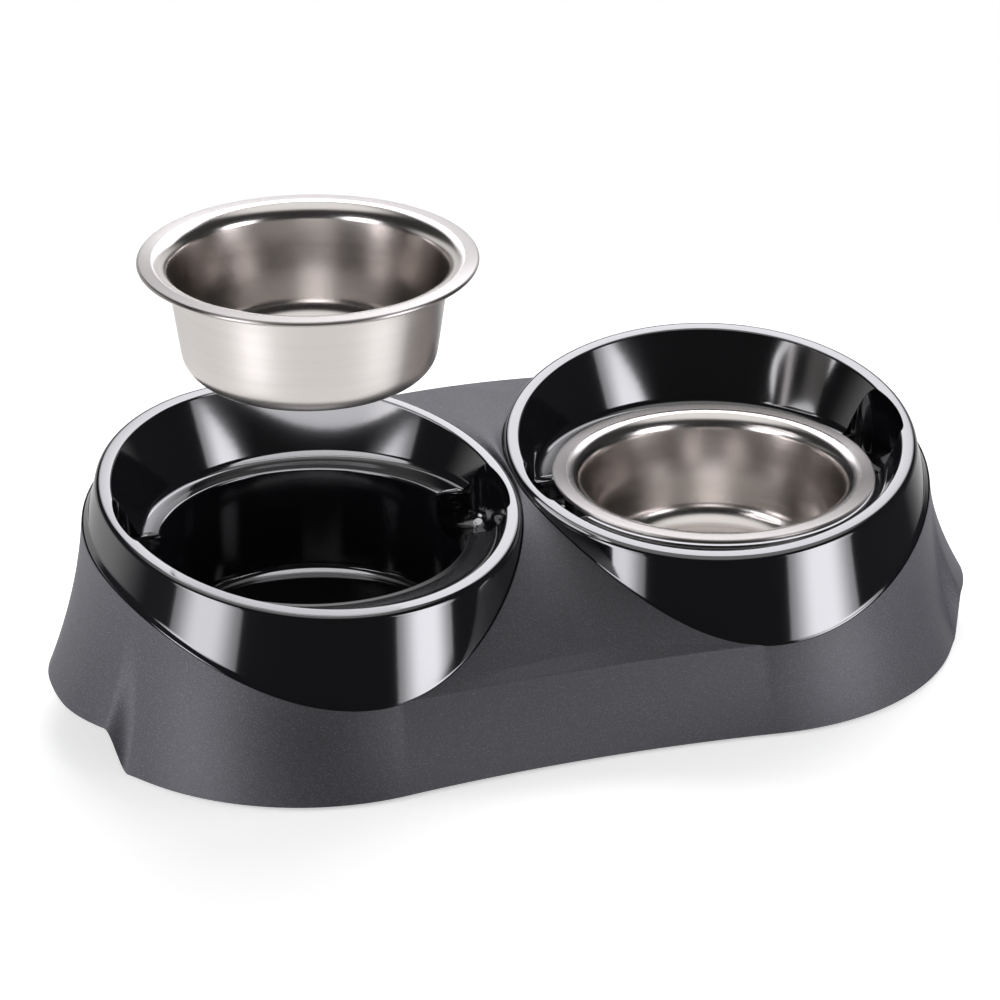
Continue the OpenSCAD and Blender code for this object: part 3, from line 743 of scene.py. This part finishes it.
def scoop_hollow(form, side):
    holders = form.holders
    rings = scoop_rings(form, side, 0)
    edge = holders.scoop_edge
    for a in np.linspace(0, math.pi / 2, ARC_STEPS // 2 + 1):
        z = holders.seat_height - edge * (1 - math.sin(a))
        outline = scoop_outline(form, side, 0, edge * (1 - math.cos(a)))
        rings.append([(form.half_spacing + x, y, z) for x, y in outline])
    for z in (holders.seat_height + form.stand.fit, form.rim_height * (1 + form.lean)):
        rings.append([(form.half_spacing + x, y, z) for x, y in scoop_outline(form, side, 0, 0)])
    return lofted("scoop_hollow", rings)


def edge_lines(form, a, r, slope, radius, out):
    """The round between the rim's level top and a wall, from the top to the wall."""
    n = np.sqrt(1 + slope**2)
    middle = r + slope * radius * (1 - out * slope / n) - out * radius / n
    end = np.arctan(slope) if out > 0 else math.pi + np.arctan(slope)
    lines = []
    for t in np.linspace(0, 1, EDGE_STEPS + 1):
        swing = mix(math.pi / 2, end, t)
        lines.append(form.rim_point(a, middle + radius * np.cos(swing), radius * (np.sin(swing) - 1)))
    return lines


def holder_shell(form):
    """A holder without its scoops: one closed skin over wall, rim, bank, ledge and well, and back under."""
    holders, stand = form.holders, form.stand
    wall, seat = holders.wall, holders.seat_height
    a = np.linspace(0, TURN, HOLDER_COLUMNS, endpoint=False)
    flange, rise = form.flange_at(a), form.narrowed(a, holders.flange_rise)
    foot = form.seam_point(a, flange, stand.fit - stand.rebate)
    flange_edge = form.seam_point(a, flange, 0)
    flange_top = form.seam_point(a, 0, rise)
    rim_out = edge_lines(form, a, form.rim_radius, form.flare_at(a), holders.rim_round, 1)[::-1]
    rim_in = edge_lines(form, a, form.bank_radius, -form.bank_slope, holders.rim_inner_round, -1)
    bank_end = form.level_point(a, form.bank_at(a, form.bank_radius, seat), seat)
    ledge_round = holders.ledge_round
    slope_end = (form.well_radius + ledge_round, seat - holders.ledge_fall - ledge_round)
    slope_start = form.spun_point(a, slope_end[0] + holders.ledge_slope, seat)
    ledge = [form.spun_point(a, r, z) for r, z in arc(slope_end, ledge_round, 90, 180, EDGE_STEPS)]
    bend = holders.well_bend
    well = arc((form.well_radius - bend, form.floor_height + bend), bend, 0, -90, ARC_STEPS)
    well += [(form.well_radius * k, form.floor_height) for k in WELL_RINGS[::-1]]
    outer = form.well_radius + wall
    low = form.floor_height - wall
    under = [(outer * k, low) for k in WELL_RINGS]
    under += arc((outer - bend - wall, low + bend + wall), bend + wall, -90, 0, ARC_STEPS)
    under += [(outer, seat - wall)]
    lines = [foot]
    lines += turn(foot, flange_edge, flange_top, holders.flange_width / 4, FLANGE_STEPS)
    lines += turn(flange_edge, flange_top, rim_out[0], holders.flange_width / 2, FLANGE_STEPS)
    lines += rim_out + rim_in
    lines += turn(rim_in[-1], bank_end, slope_start, holders.bank_foot, EDGE_STEPS)
    lines += turn(bank_end, slope_start, ledge[0], holders.ledge_slope / 8, SLOPE_STEPS)
    lines += ledge
    lines += [form.spun_point(a, r, z) for r, z in well + under]
    lines += [
        form.level_point(a, form.bank_at(a, form.bank_radius + form.bank_wall, seat - wall), seat - wall),
        form.rim_point(a, form.bank_radius + form.bank_wall - form.bank_slope * wall, -wall),
        form.rim_point(a, form.rim_radius + form.flare_at(a) * wall - wall, -wall),
        form.seam_point(a, -wall, stand.fit - stand.rebate),
    ]
    shell = Shell()
    shell.add(np.stack(lines), loop_rows=True, loop_columns=True)
    return shell.mesh("holder_shell")


def corner_normals(mesh, sources):
    """Gives each corner of a cut mesh the smooth normal of the surface that its face came from."""
    trees, normals, corners = [], [], []
    for source in sources:
        source.calc_loop_triangles()
        tris = [tuple(t.vertices) for t in source.loop_triangles]
        trees.append(BVHTree.FromPolygons([v.co for v in source.vertices], tris))
        normals.append([v.normal.copy() for v in source.vertices])
        corners.append((tris, [v.co.copy() for v in source.vertices]))
    found, custom = {}, []
    for face in mesh.polygons:
        which = face.material_index
        for k in face.vertices:
            if (which, k) not in found:
                place, _, i, _ = trees[which].find_nearest(mesh.vertices[k].co)
                tri, places = corners[which][0][i], corners[which][1]
                weights = barycentric(place, *(places[c] for c in tri))
                normal = sum((normals[which][c] * w for c, w in zip(tri, weights)), Vector((0, 0, 0)))
                found[which, k] = normal.normalized()
            normal = found[which, k]
            custom.append(-normal if normal.dot(face.normal) < 0 else normal)
    mesh.normals_split_custom_set(custom)


def barycentric(p, a, b, c):
    """Weights of three corners at a point of their triangle."""
    u, v, w = b - a, c - a, p - a
    uu, uv, vv, wu, wv = u.dot(u), u.dot(v), v.dot(v), w.dot(u), w.dot(v)
    area = uu * vv - uv * uv
    if area < NO_AREA:
        return 1.0, 0.0, 0.0
    s, t = (vv * wu - uv * wv) / area, (uu * wv - uv * wu) / area
    return 1 - s - t, s, t


def carved(shell, additions, cuts):
    """The shell joined with the additions and less the cuts, with the normals of all their surfaces."""
    whole = new_object("carving", shell)
    sources, tools = [shell.copy()], []
    for operation, meshes in (("UNION", additions), ("DIFFERENCE", cuts)):
        for tool_mesh in meshes:
            tool_mesh.polygons.foreach_set("material_index", [len(sources)] * len(tool_mesh.polygons))
            sources.append(tool_mesh)
            tool = new_object("carving_tool", tool_mesh)
            tools.append(tool)
            modifier = whole.modifiers.new("carve", "BOOLEAN")
            modifier.operation = operation
            modifier.solver = "MANIFOLD"
            modifier.object = tool
    # Empty material slots, so that each face keeps the number of its source through the cuts
    for thing in [whole, *tools]:
        for _ in sources:
            thing.data.materials.append(None)
    bpy.context.view_layer.update()
    made = bpy.data.meshes.new_from_object(whole.evaluated_get(bpy.context.evaluated_depsgraph_get()))
    corner_normals(made, sources)
    made.materials.clear()
    made.polygons.foreach_set("material_index", [0] * len(made.polygons))
    for thing in [whole, *tools]:
        bpy.data.objects.remove(thing)
    return made


def mirrored_mesh(mesh, name):
    """The mesh mirrored from right to left, with its normals."""
    normals = [corner.vector.copy() for corner in mesh.corner_normals]
    faces, custom = [], []
    for face in mesh.polygons:
        faces.append(tuple(reversed(face.vertices)))
        custom += [Vector((-n.x, n.y, n.z)) for n in reversed([normals[i] for i in face.loop_indices])]
    made = bpy.data.meshes.new(name)
    made.from_pydata([(-v.co.x, v.co.y, v.co.z) for v in mesh.vertices], [], faces)
    made.shade_smooth()
    made.normals_split_custom_set(custom)
    return made


def bowl_profile(form):
    """A bowl's section by radius and height over its base, in three runs: inside, lip and outside."""
    bowls = form.bowls
    slope = math.tan(bowls.wall_lean)
    tilt = math.degrees(math.atan(slope * bowls.shoulder_drop / bowls.shoulder_run))
    foot = (
        form.throat - bowls.shoulder_run * math.cos(math.radians(tilt)),
        bowls.height - bowls.shoulder_drop * (1 - math.sin(math.radians(tilt))),
    )
    bend_z = bowls.steel + bowls.base_bend
    bend_r = foot[0] - slope * (foot[1] - bend_z) - bowls.base_bend * math.hypot(1, slope)
    inside = [(bend_r * k, bowls.steel) for k in BASE_RINGS]
    inside += arc((bend_r, bend_z), bowls.base_bend, -90, -math.degrees(bowls.wall_lean), ARC_STEPS)
    bend_end = inside[-1]
    inside += [(mix(bend_end[0], foot[0], k), mix(bend_end[1], foot[1], k)) for k in WALL_POINTS]
    for t in np.linspace(180 - tilt, 90, ARC_STEPS + 1):
        a = math.radians(t)
        inside.append((
            form.throat + bowls.shoulder_run * math.cos(a),
            bowls.height - bowls.shoulder_drop * (1 - math.sin(a)),
        ))
    bead = bowls.lip_roll / 2
    curl = -180 - math.degrees(math.asin((bead - bowls.steel) / bead))
    lip = arc((bowls.lip_radius - bead, bowls.height - bead), bead, 90, curl, 2 * ARC_STEPS)
    outside = []
    for i in range(len(inside) - 1, -1, -1):
        before, here = inside[max(i - 1, 0)], inside[i]
        after = inside[min(i + 1, len(inside) - 1)]
        along = (after[0] - before[0], after[1] - before[1])
        size = math.hypot(*along)
        outside.append((here[0] + bowls.steel * along[1] / size, here[1] - bowls.steel * along[0] / size))
    outside[-1] = (0, 0)
    return inside, lip, outside


def socket_rings(form):
    """Section of a socket under the stand, by radius and height: outside, foot ring and hole."""
    feet = form.feet
    outer = feet.radius + feet.socket_wall
    hole = feet.radius + form.stand.fit / 2
    low, top = form.foot_line, form.foot_line + feet.socket_depth
    roof = top + form.holders.wall
    return [(0, roof), (outer, roof), (outer, low), (hole, low), (hole, top), (0, top)]


def foot_section(form):
    feet = form.feet
    top = form.foot_line + feet.socket_depth
    edge = arc((feet.radius - feet.edge, feet.edge), feet.edge, -90, 0, EDGE_STEPS)
    return [(0, 0), *edge, (feet.radius, top), (0, top)]


def fill(tree, target, sockets):
    """Sets or links the inputs of a node."""
    for name, value in sockets.items():
        if isinstance(value, bpy.types.NodeSocket):
            tree.links.new(value, target.inputs[name])
        else:
            target.inputs[name].default_value = value


def node(tree, kind, sockets, **attributes):
    """The outputs of a new node, with its attributes set and its inputs set or linked."""
    made = tree.nodes.new(kind)
    for name, value in attributes.items():
        setattr(made, name, value)
    fill(tree, made, sockets)
    return made.outputs


def maths(tree, operation, *values):
    """The result of an operation on one or two numbers."""
    return node(tree, "ShaderNodeMath", dict(enumerate(values)), operation=operation)["Value"]


def mapped(tree, value, start, end, low=0.0, high=1.0, curve="SMOOTHSTEP"):
    """A number that goes from low to high as the value goes from start to end."""
    ends = {"From Min": start, "From Max": end, "To Min": low, "To Max": high}
    return node(tree, "ShaderNodeMapRange", {"Value": value, **ends}, interpolation_type=curve)["Result"]


def noise(tree, place, scale, detail, roughness=0.5):
    sockets = {"Vector": place, "Scale": scale, "Detail": detail, "Roughness": roughness}
    return node(tree, "ShaderNodeTexNoise", sockets)["Fac"]


def new_group(name, marks_per_metre):
    """A shader node group that takes a place and how fine its marks are."""
    group = bpy.data.node_groups.new(name, "ShaderNodeTree")
    group.interface.new_socket("Vector", in_out="INPUT", socket_type="NodeSocketVector")
    marks = group.interface.new_socket("Marks per Metre", in_out="INPUT", socket_type="NodeSocketFloat")
    marks.default_value = marks_per_metre
    return group, group.nodes.new("NodeGroupInput").outputs


def give_out(group, values):
    """Makes the number outputs of a group."""
    for label in values:
        group.interface.new_socket(label, in_out="OUTPUT", socket_type="NodeSocketFloat")
    fill(group, group.nodes.new("NodeGroupOutput"), values)
    return group


def moulded_grain_group():
    """Grain of moulded plastic: its height, a mask of its lighter specks, and wide clouds."""
    group, given = new_group("moulded_grain", 1500.0)
    fine = noise(group, given["Vector"], given["Marks per Metre"], detail=2.0, roughness=0.6)
    clouds = noise(group, given["Vector"], scale=14.0, detail=3.0)
    specks = mapped(group, fine, start=0.52, end=0.72, curve="LINEAR")
    return give_out(group, {"Height": fine, "Specks": specks, "Clouds": clouds})


def turned_lines_group():
    """Fine lines that run round the upright axis of a spun piece: their height, and a smoother shade."""
    group, given = new_group("turned_lines", 3000.0)
    split = node(group, "ShaderNodeSeparateXYZ", {"Vector": given["Vector"]})
    flat = node(group, "ShaderNodeCombineXYZ", {"X": split["X"], "Y": split["Y"]})["Vector"]
    radius = node(group, "ShaderNodeVectorMath", {0: flat}, operation="LENGTH")["Value"]
    around = maths(group, "ARCTAN2", split["Y"], split["X"])
    slow = maths(group, "MULTIPLY", around, AROUND_STEP)
    place = node(group, "ShaderNodeCombineXYZ", {"X": radius, "Y": split["Z"], "Z": slow})["Vector"]
    fine = noise(group, place, given["Marks per Metre"], detail=3.0, roughness=0.55)
    wide = noise(group, place, scale=320.0, detail=2.0)
    return give_out(group, {"Height": fine, "Shade": wide})


def new_material(name):
    """A material with its Principled shader, and the object's own coordinates."""
    material = bpy.data.materials.new(name)
    material.use_nodes = True
    tree = material.node_tree
    return material, tree, tree.nodes["Principled BSDF"], node(tree, "ShaderNodeTexCoord", {})["Object"]


def surfaced(name, group, marks, tint, masks, shades, roughness, relief, fixed=None):
    """A material with a bump, whose colour and roughness run between two values by two masks of the group.
    The marks say how many go to a metre, the shades are factors of the tint, the relief is the bump's
    distance and strength, and the fixed inputs are the shader's other ones."""
    material, tree, shader, here = new_material(name)
    made = node(tree, "ShaderNodeGroup", {"Vector": here, "Marks per Metre": marks}, node_tree=group)
    dark, light = ((*(min(1.0, part * factor) for part in tint), 1) for factor in shades)
    colours = {"Factor": made[masks[0]], DARK: dark, LIGHT: light}
    bump = {"Height": made["Height"], "Distance": relief[0], "Strength": relief[1]}
    fill(tree, shader, {
        "Base Color": node(tree, "ShaderNodeMix", colours, data_type="RGBA")[BLEND],
        "Roughness": mapped(tree, made[masks[1]], 0.0, 1.0, *roughness, curve="LINEAR"),
        "Normal": node(tree, "ShaderNodeBump", bump)["Normal"],
        **(fixed or {}),
    })
    return material


def matt_plastic(settings, grain):
    """Matt graphite plastic with a fine moulded grain and light specks."""
    roughness = (settings.matt - MATT_SPREAD, settings.matt + MATT_SPREAD)
    return surfaced(
        "matt_graphite_plastic", grain, marks=1700.0, tint=settings.tint, masks=("Specks", "Clouds"),
        shades=(0.85, 2.2), roughness=roughness, relief=(0.00012, 0.35),
    )


def gloss_plastic(settings, grain):
    """Gloss black plastic, with a trace of unevenness in its shine."""
    roughness = (settings.gloss - GLOSS_SPREAD, settings.gloss + GLOSS_SPREAD)
    return surfaced(
        "gloss_black_plastic", grain, marks=260.0, tint=settings.tint, masks=("Clouds", "Clouds"),
        shades=(0.8, 1.25), roughness=roughness, relief=(0.00003, 0.12),
        fixed={"IOR": 1.6, "Specular IOR Level": 1.0},
    )


def rubber(settings, grain):
    """Soft grey rubber with a dry grain."""
    return surfaced(
        "grey_rubber", grain, marks=2500.0, tint=settings.tint, masks=("Height", "Clouds"),
        shades=(0.85, 1.1), roughness=(0.75, 0.9), relief=(0.00008, 0.4),
    )


def steel(name, settings, lines, roughness, depth, painted_shade_factor=1.0):
    """Stainless steel with fine turned lines, whose colour can be darkened by a factor, a painted shade."""
    ends = [roughness * (1 + way * STEEL_SPREAD) for way in (-1, 1)]
    return surfaced(
        name, lines, marks=3000.0, tint=settings.tint, masks=("Shade", "Shade"),
        shades=(0.93 * painted_shade_factor, 1.05 * painted_shade_factor), roughness=ends, relief=(0.00004, depth), fixed={"Metallic": 1.0},
    )


def brushed_lip(settings, lines):
    """Steel brushed round the lip, so that its shine spreads across the brush marks. Its colour is darkened,
    a painted shade that dims the lip's shine.
    """
    made = steel("brushed_lip", settings, lines, settings.lip_finish, settings.brush_marks, settings.lip_painted_shade)
    tree = made.node_tree
    round_axis = node(tree, "ShaderNodeTangent", {}, direction_type="RADIAL", axis="Z")["Tangent"]
    sockets = {"Tangent": round_axis, "Anisotropic": 0.8, "Anisotropic Rotation": 0.25}
    fill(tree, tree.nodes["Principled BSDF"], sockets)
    return made


def painted_glow_base(settings, lines):
    """Brushed steel whose base glows white to glossy rays, a painted glow that no lamp gives, so that the
    gloss rims show a bright band where they reflect the base of a lifted bowl.
    """
    made = steel("brushed_base_painted_glow", settings, lines, settings.brushed, settings.brush_marks)
    tree = made.node_tree
    # Painted glow: the base shines white, but only where reflections see it
    reflected = node(tree, "ShaderNodeLightPath", {})["Is Glossy Ray"]
    glow = maths(tree, "MULTIPLY", reflected, settings.base_glow)
    fill(tree, tree.nodes["Principled BSDF"], {"Emission Color": CARD_WHITE, "Emission Strength": glow})
    return made


def group_named(name, make):
    """The node group of that name, made once."""
    return bpy.data.node_groups.get(name) or make()


class PETBOWL_OT_stage(bpy.types.Operator):
    """Make the floor, the soft lamps, the room and the camera"""

    bl_idname = "petbowl.stage"
    bl_label = "Make Stage"

    def execute(self, context):
        settings = context.scene.pet_bowl.stage
        make_camera(settings)
        make_floor(settings)
        make_room(settings)
        for lamp in SOFTBOXES:
            make_softbox(settings, *lamp)
        context.scene.view_settings.view_transform = "Standard"
        return {"FINISHED"}


def make_camera(settings):
    """The camera looks at a point over the middle of the stand."""
    data = bpy.data.cameras.new("camera")
    data.sensor_width = SENSOR_WIDTH
    data.lens = settings.focal_ratio * data.sensor_width
    a, e = settings.azimuth, settings.elevation
    back = Vector((math.sin(a) * math.cos(e), -math.cos(a) * math.cos(e), math.sin(e)))
    right = Vector((math.cos(a), math.sin(a), 0))
    up = back.cross(right)
    roll = Matrix.Rotation(settings.roll, 3, -back)
    basis = Matrix((roll @ right, roll @ up, back)).transposed().to_4x4()
    target = Vector((settings.look_x, 0, settings.look_z))
    basis.translation = target + back * settings.distance
    camera = new_object("camera", data)
    camera.matrix_world = basis
    bpy.context.scene.camera = camera


def mixed(tree, factor, first, second):
    """The first shader where the factor is 0, and the second where it is 1."""
    return node(tree, "ShaderNodeMixShader", {0: factor, 1: first, 2: second})["Shader"]


def make_floor(settings):
    """A plain pale disc that keeps the shadow, and fades into the white background round it."""
    shell = Shell()
    profile = [(r, 0) for r in np.linspace(0, settings.floor_radius, FLOOR_RINGS)]
    shell.add(spun(profile, FOOT_COLUMNS, (0, 0)), loop_columns=True)
    floor = new_object("floor", shell.mesh("floor"))
    material, tree, shader, here = new_material("pale_floor")
    tint = (*settings.floor_tint, 1)
    fill(tree, shader, {"Base Color": tint, "Roughness": 0.9, "Specular IOR Level": 0.1})
    plain = shader.outputs["BSDF"]
    glow = node(tree, "ShaderNodeEmission", {"Color": WHITE, "Strength": FLOOR_GLOW})["Emission"]
    both = node(tree, "ShaderNodeAddShader", {0: plain, 1: glow})["Shader"]
    chosen = mixed(tree, node(tree, "ShaderNodeLightPath", {})["Is Camera Ray"], plain, both)
    reach = node(tree, "ShaderNodeVectorMath", {0: here}, operation="LENGTH")["Value"]
    fade = mapped(tree, reach, *(settings.floor_radius * k for k in FLOOR_FADE))
    clear = node(tree, "ShaderNodeBsdfTransparent", {})["BSDF"]
    fill(tree, tree.nodes["Material Output"], {"Surface": mixed(tree, fade, chosen, clear)})
    floor.data.materials.append(material)
    floor.visible_glossy = False


def make_room(settings):
    """White to the camera. Reflections see white below, behind and overhead, and else a dim room."""
    world = bpy.data.worlds.new("room")
    bpy.context.scene.world = world
    world.use_nodes = True
    tree = world.node_tree
    tree.nodes.clear()
    path = node(tree, "ShaderNodeLightPath", {})
    way = node(tree, "ShaderNodeTexCoord", {})["Generated"]
    split = node(tree, "ShaderNodeSeparateXYZ", {"Vector": way})
    low = mapped(tree, split["Z"], *GLOW_LOW)
    behind = maths(tree, "MULTIPLY", low, mapped(tree, split["Y"], *GLOW_BEHIND))
    around = maths(tree, "MAXIMUM", mapped(tree, split["Z"], *GLOW_BELOW), behind)
    seen = maths(tree, "MAXIMUM", around, mapped(tree, split["Z"], *GLOW_OVERHEAD))
    mirror = maths(tree, "MAXIMUM", path["Is Glossy Ray"], path["Is Transmission Ray"])
    ambient, reflected, backdrop = (
        node(tree, "ShaderNodeBackground", {"Color": WHITE, "Strength": strength})["Background"]
        for strength in (settings.ambient, seen, 1.0)
    )
    room = mixed(tree, mirror, ambient, reflected)
    out = tree.nodes.new("ShaderNodeOutputWorld")
    fill(tree, out, {"Surface": mixed(tree, path["Is Camera Ray"], room, backdrop)})


def make_softbox(settings, name, card_way, lamp_way, rise, distance, width, tall, radiance, card_radiance):
    """A soft lamp that faces the middle of the stand, and a glowing card that only reflections see,
    which falls off towards both its upright edges."""
    data = bpy.data.lights.new(name, "AREA")
    data.shape = "RECTANGLE"
    data.size, data.size_y = width, tall
    data.energy = math.pi * width * tall * radiance
    lamp = new_object(name, data)
    lamp.visible_glossy = lamp.visible_transmission = False
    shell = Shell()
    x, y = (np.linspace(-size / 2, size / 2, CARD_POINTS) for size in (width, tall))
    shell.add(points(x[:, None], y[None, :], 0))
    card = new_object(f"{name}_card", shell.mesh("card"))
    material, tree, _, here = new_material(f"{name}_glow")
    off = maths(tree, "ABSOLUTE", node(tree, "ShaderNodeSeparateXYZ", {"Vector": here})["X"])
    soft = mapped(tree, off, width / 2 * CARD_EVEN_SHARE, width / 2, 1.0, CARD_EDGE_GLOW)
    strength = maths(tree, "MULTIPLY", soft, card_radiance)
    glow = node(tree, "ShaderNodeEmission", {"Color": CARD_WHITE, "Strength": strength})["Emission"]
    fill(tree, tree.nodes["Material Output"], {"Surface": glow})
    card.data.materials.append(material)
    card.visible_diffuse = card.visible_shadow = False
    for thing, way in ((lamp, lamp_way), (card, card_way)):
        a, e = math.radians(way), math.radians(rise)
        out = Vector((math.sin(a) * math.cos(e), math.cos(a) * math.cos(e), math.sin(e)))
        thing.location = Vector((0, 0, settings.look_z)) + out * distance
        thing.rotation_mode = "QUATERNION"
        thing.rotation_quaternion = (-out).to_track_quat("-Z", "Y")
        thing.visible_camera = False


class PETBOWL_OT_stand(bpy.types.Operator):
    """Make the moulded stand with its grips, front bevel, saddle and rebates"""

    bl_idname = "petbowl.stand"
    bl_label = "Make Stand"

    def execute(self, context):
        form = Form(context.scene.pet_bowl)
        shell = stand_half(form)
        for side in (-1, 1):
            shell.add(spun(socket_rings(form), FOOT_COLUMNS, form.foot_place(side)), loop_columns=True)
        shell.add_mirrored()
        stand = new_object("moulded_stand", shell.mesh("moulded_stand"))
        grain = group_named("moulded_grain", moulded_grain_group)
        stand.data.materials.append(matt_plastic(form.stand, grain))
        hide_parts("stand")
        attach(stand, STAND_BODY)
        return {"FINISHED"}


class PETBOWL_OT_holders(bpy.types.Operator):
    """Make the two gloss holders with their leaning rims, wells and finger scoops"""

    bl_idname = "petbowl.holders"
    bl_label = "Make Holders"

    def execute(self, context):
        form = Form(context.scene.pet_bowl)
        walls = [scoop_wall(form, side) for side in (-1, 1)]
        hollows = [scoop_hollow(form, side) for side in (-1, 1)]
        right = carved(holder_shell(form), walls, hollows)
        grain = group_named("moulded_grain", moulded_grain_group)
        gloss = gloss_plastic(form.holders, grain)
        for side, mesh in ((1, right), (-1, mirrored_mesh(right, "left_ring"))):
            holder = new_object(f"gloss_{HOLDER_NODES[side]}", mesh)
            mesh.materials.append(gloss)
            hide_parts(HOLDER_NODES[side])
            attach(holder, STAND_BODY)
        return {"FINISHED"}


class PETBOWL_OT_bowls(bpy.types.Operator):
    """Make the two spun steel bowls, the left one lifted and the right one in its holder"""

    bl_idname = "petbowl.bowls"
    bl_label = "Make Bowls"

    def execute(self, context):
        form = Form(context.scene.pet_bowl)
        bowls = form.bowls
        inside, lip, outside = bowl_profile(form)
        lines = group_named("turned_lines", turned_lines_group)
        finishes = [
            steel("brushed_steel", bowls, lines, bowls.brushed, bowls.brush_marks),
            steel("polished_steel", bowls, lines, bowls.polished, bowls.polish_marks),
            brushed_lip(bowls, lines),
            painted_glow_base(bowls, lines),
        ]
        for side, body in BOWL_BODIES.items():
            base = form.lip_top - bowls.height + (bowls.lift if side < 0 else 0)
            shell = Shell()
            shell.add(spun(inside + lip + outside, SPUN_COLUMNS, (0, 0)), loop_columns=True)
            bowl = new_object(f"steel_{body}", shell.mesh("spun_bowl"), (side * form.half_spacing, 0, base))
            for finish in finishes:
                bowl.data.materials.append(finish)
            for face in bowl.data.polygons:
                face.material_index = self.finish_of(form, face)
            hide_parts(body)
            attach(bowl, body)
        return {"FINISHED"}

    @staticmethod
    def finish_of(form, face):
        """0 for the brushed outside, 1 for the polished inside, 2 for the lip, 3 for the base underneath,
        which has a painted glow.
        """
        r = math.hypot(face.center.x, face.center.y)
        inward = face.normal.x * face.center.x + face.normal.y * face.center.y < 0
        if face.normal.z < BASE_NORMAL:
            return 3
        if r < form.throat:
            return int(inward or face.normal.z > LEVEL_NORMAL)
        return 2 if face.normal.z > LIP_NORMAL else 0


class PETBOWL_OT_feet(bpy.types.Operator):
    """Make the four rubber feet in their sockets"""

    bl_idname = "petbowl.feet"
    bl_label = "Make Feet"

    def execute(self, context):
        form = Form(context.scene.pet_bowl)
        material = rubber(form.feet, group_named("moulded_grain", moulded_grain_group))
        for name, (x, y) in FEET.items():
            place = form.foot_place(y)
            shell = Shell()
            shell.add(spun(foot_section(form), FOOT_COLUMNS, (0, 0)), loop_columns=True)
            foot = new_object(f"rubber_{name}", shell.mesh("rubber_foot"), (x * place[0], place[1], 0))
            foot.data.materials.append(material)
            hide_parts(name)
            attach(foot, STAND_BODY)
        return {"FINISHED"}


class PETBOWL_PT_panel(bpy.types.Panel):
    """Lists the sizes, the colours and the pieces"""

    bl_label = "Raised Double Pet Bowl"
    bl_idname = "PETBOWL_PT_panel"
    bl_space_type = "VIEW_3D"
    bl_region_type = "UI"
    bl_category = "Pet Bowl"

    def draw(self, context):
        layout = self.layout
        for operator in OPERATORS:
            layout.operator(operator.bl_idname)
        settings = context.scene.pet_bowl
        for label in ("bowls", "holders", "stand", "feet", "stage"):
            group = getattr(settings, label)
            box = layout.box()
            box.label(text=label.capitalize())
            for name in group.__annotations__:
                box.prop(group, name)


OPERATORS = (PETBOWL_OT_stage, PETBOWL_OT_stand, PETBOWL_OT_holders, PETBOWL_OT_bowls, PETBOWL_OT_feet)
CLASSES = (
    BowlSettings,
    HolderSettings,
    StandSettings,
    FootSettings,
    StageSettings,
    PetBowlSettings,
    *OPERATORS,
    PETBOWL_PT_panel,
)


def register():
    for cls in CLASSES:
        bpy.utils.register_class(cls)
    bpy.types.Scene.pet_bowl = PointerProperty(type=PetBowlSettings)


def unregister():
    del bpy.types.Scene.pet_bowl
    for cls in reversed(CLASSES):
        bpy.utils.unregister_class(cls)


def main():
    register()
    bpy.ops.petbowl.stage()
    bpy.ops.petbowl.stand()
    bpy.ops.petbowl.holders()
    bpy.ops.petbowl.bowls()
    bpy.ops.petbowl.feet()
    bpy.context.view_layer.update()


if __name__ == "__main__":
    main()
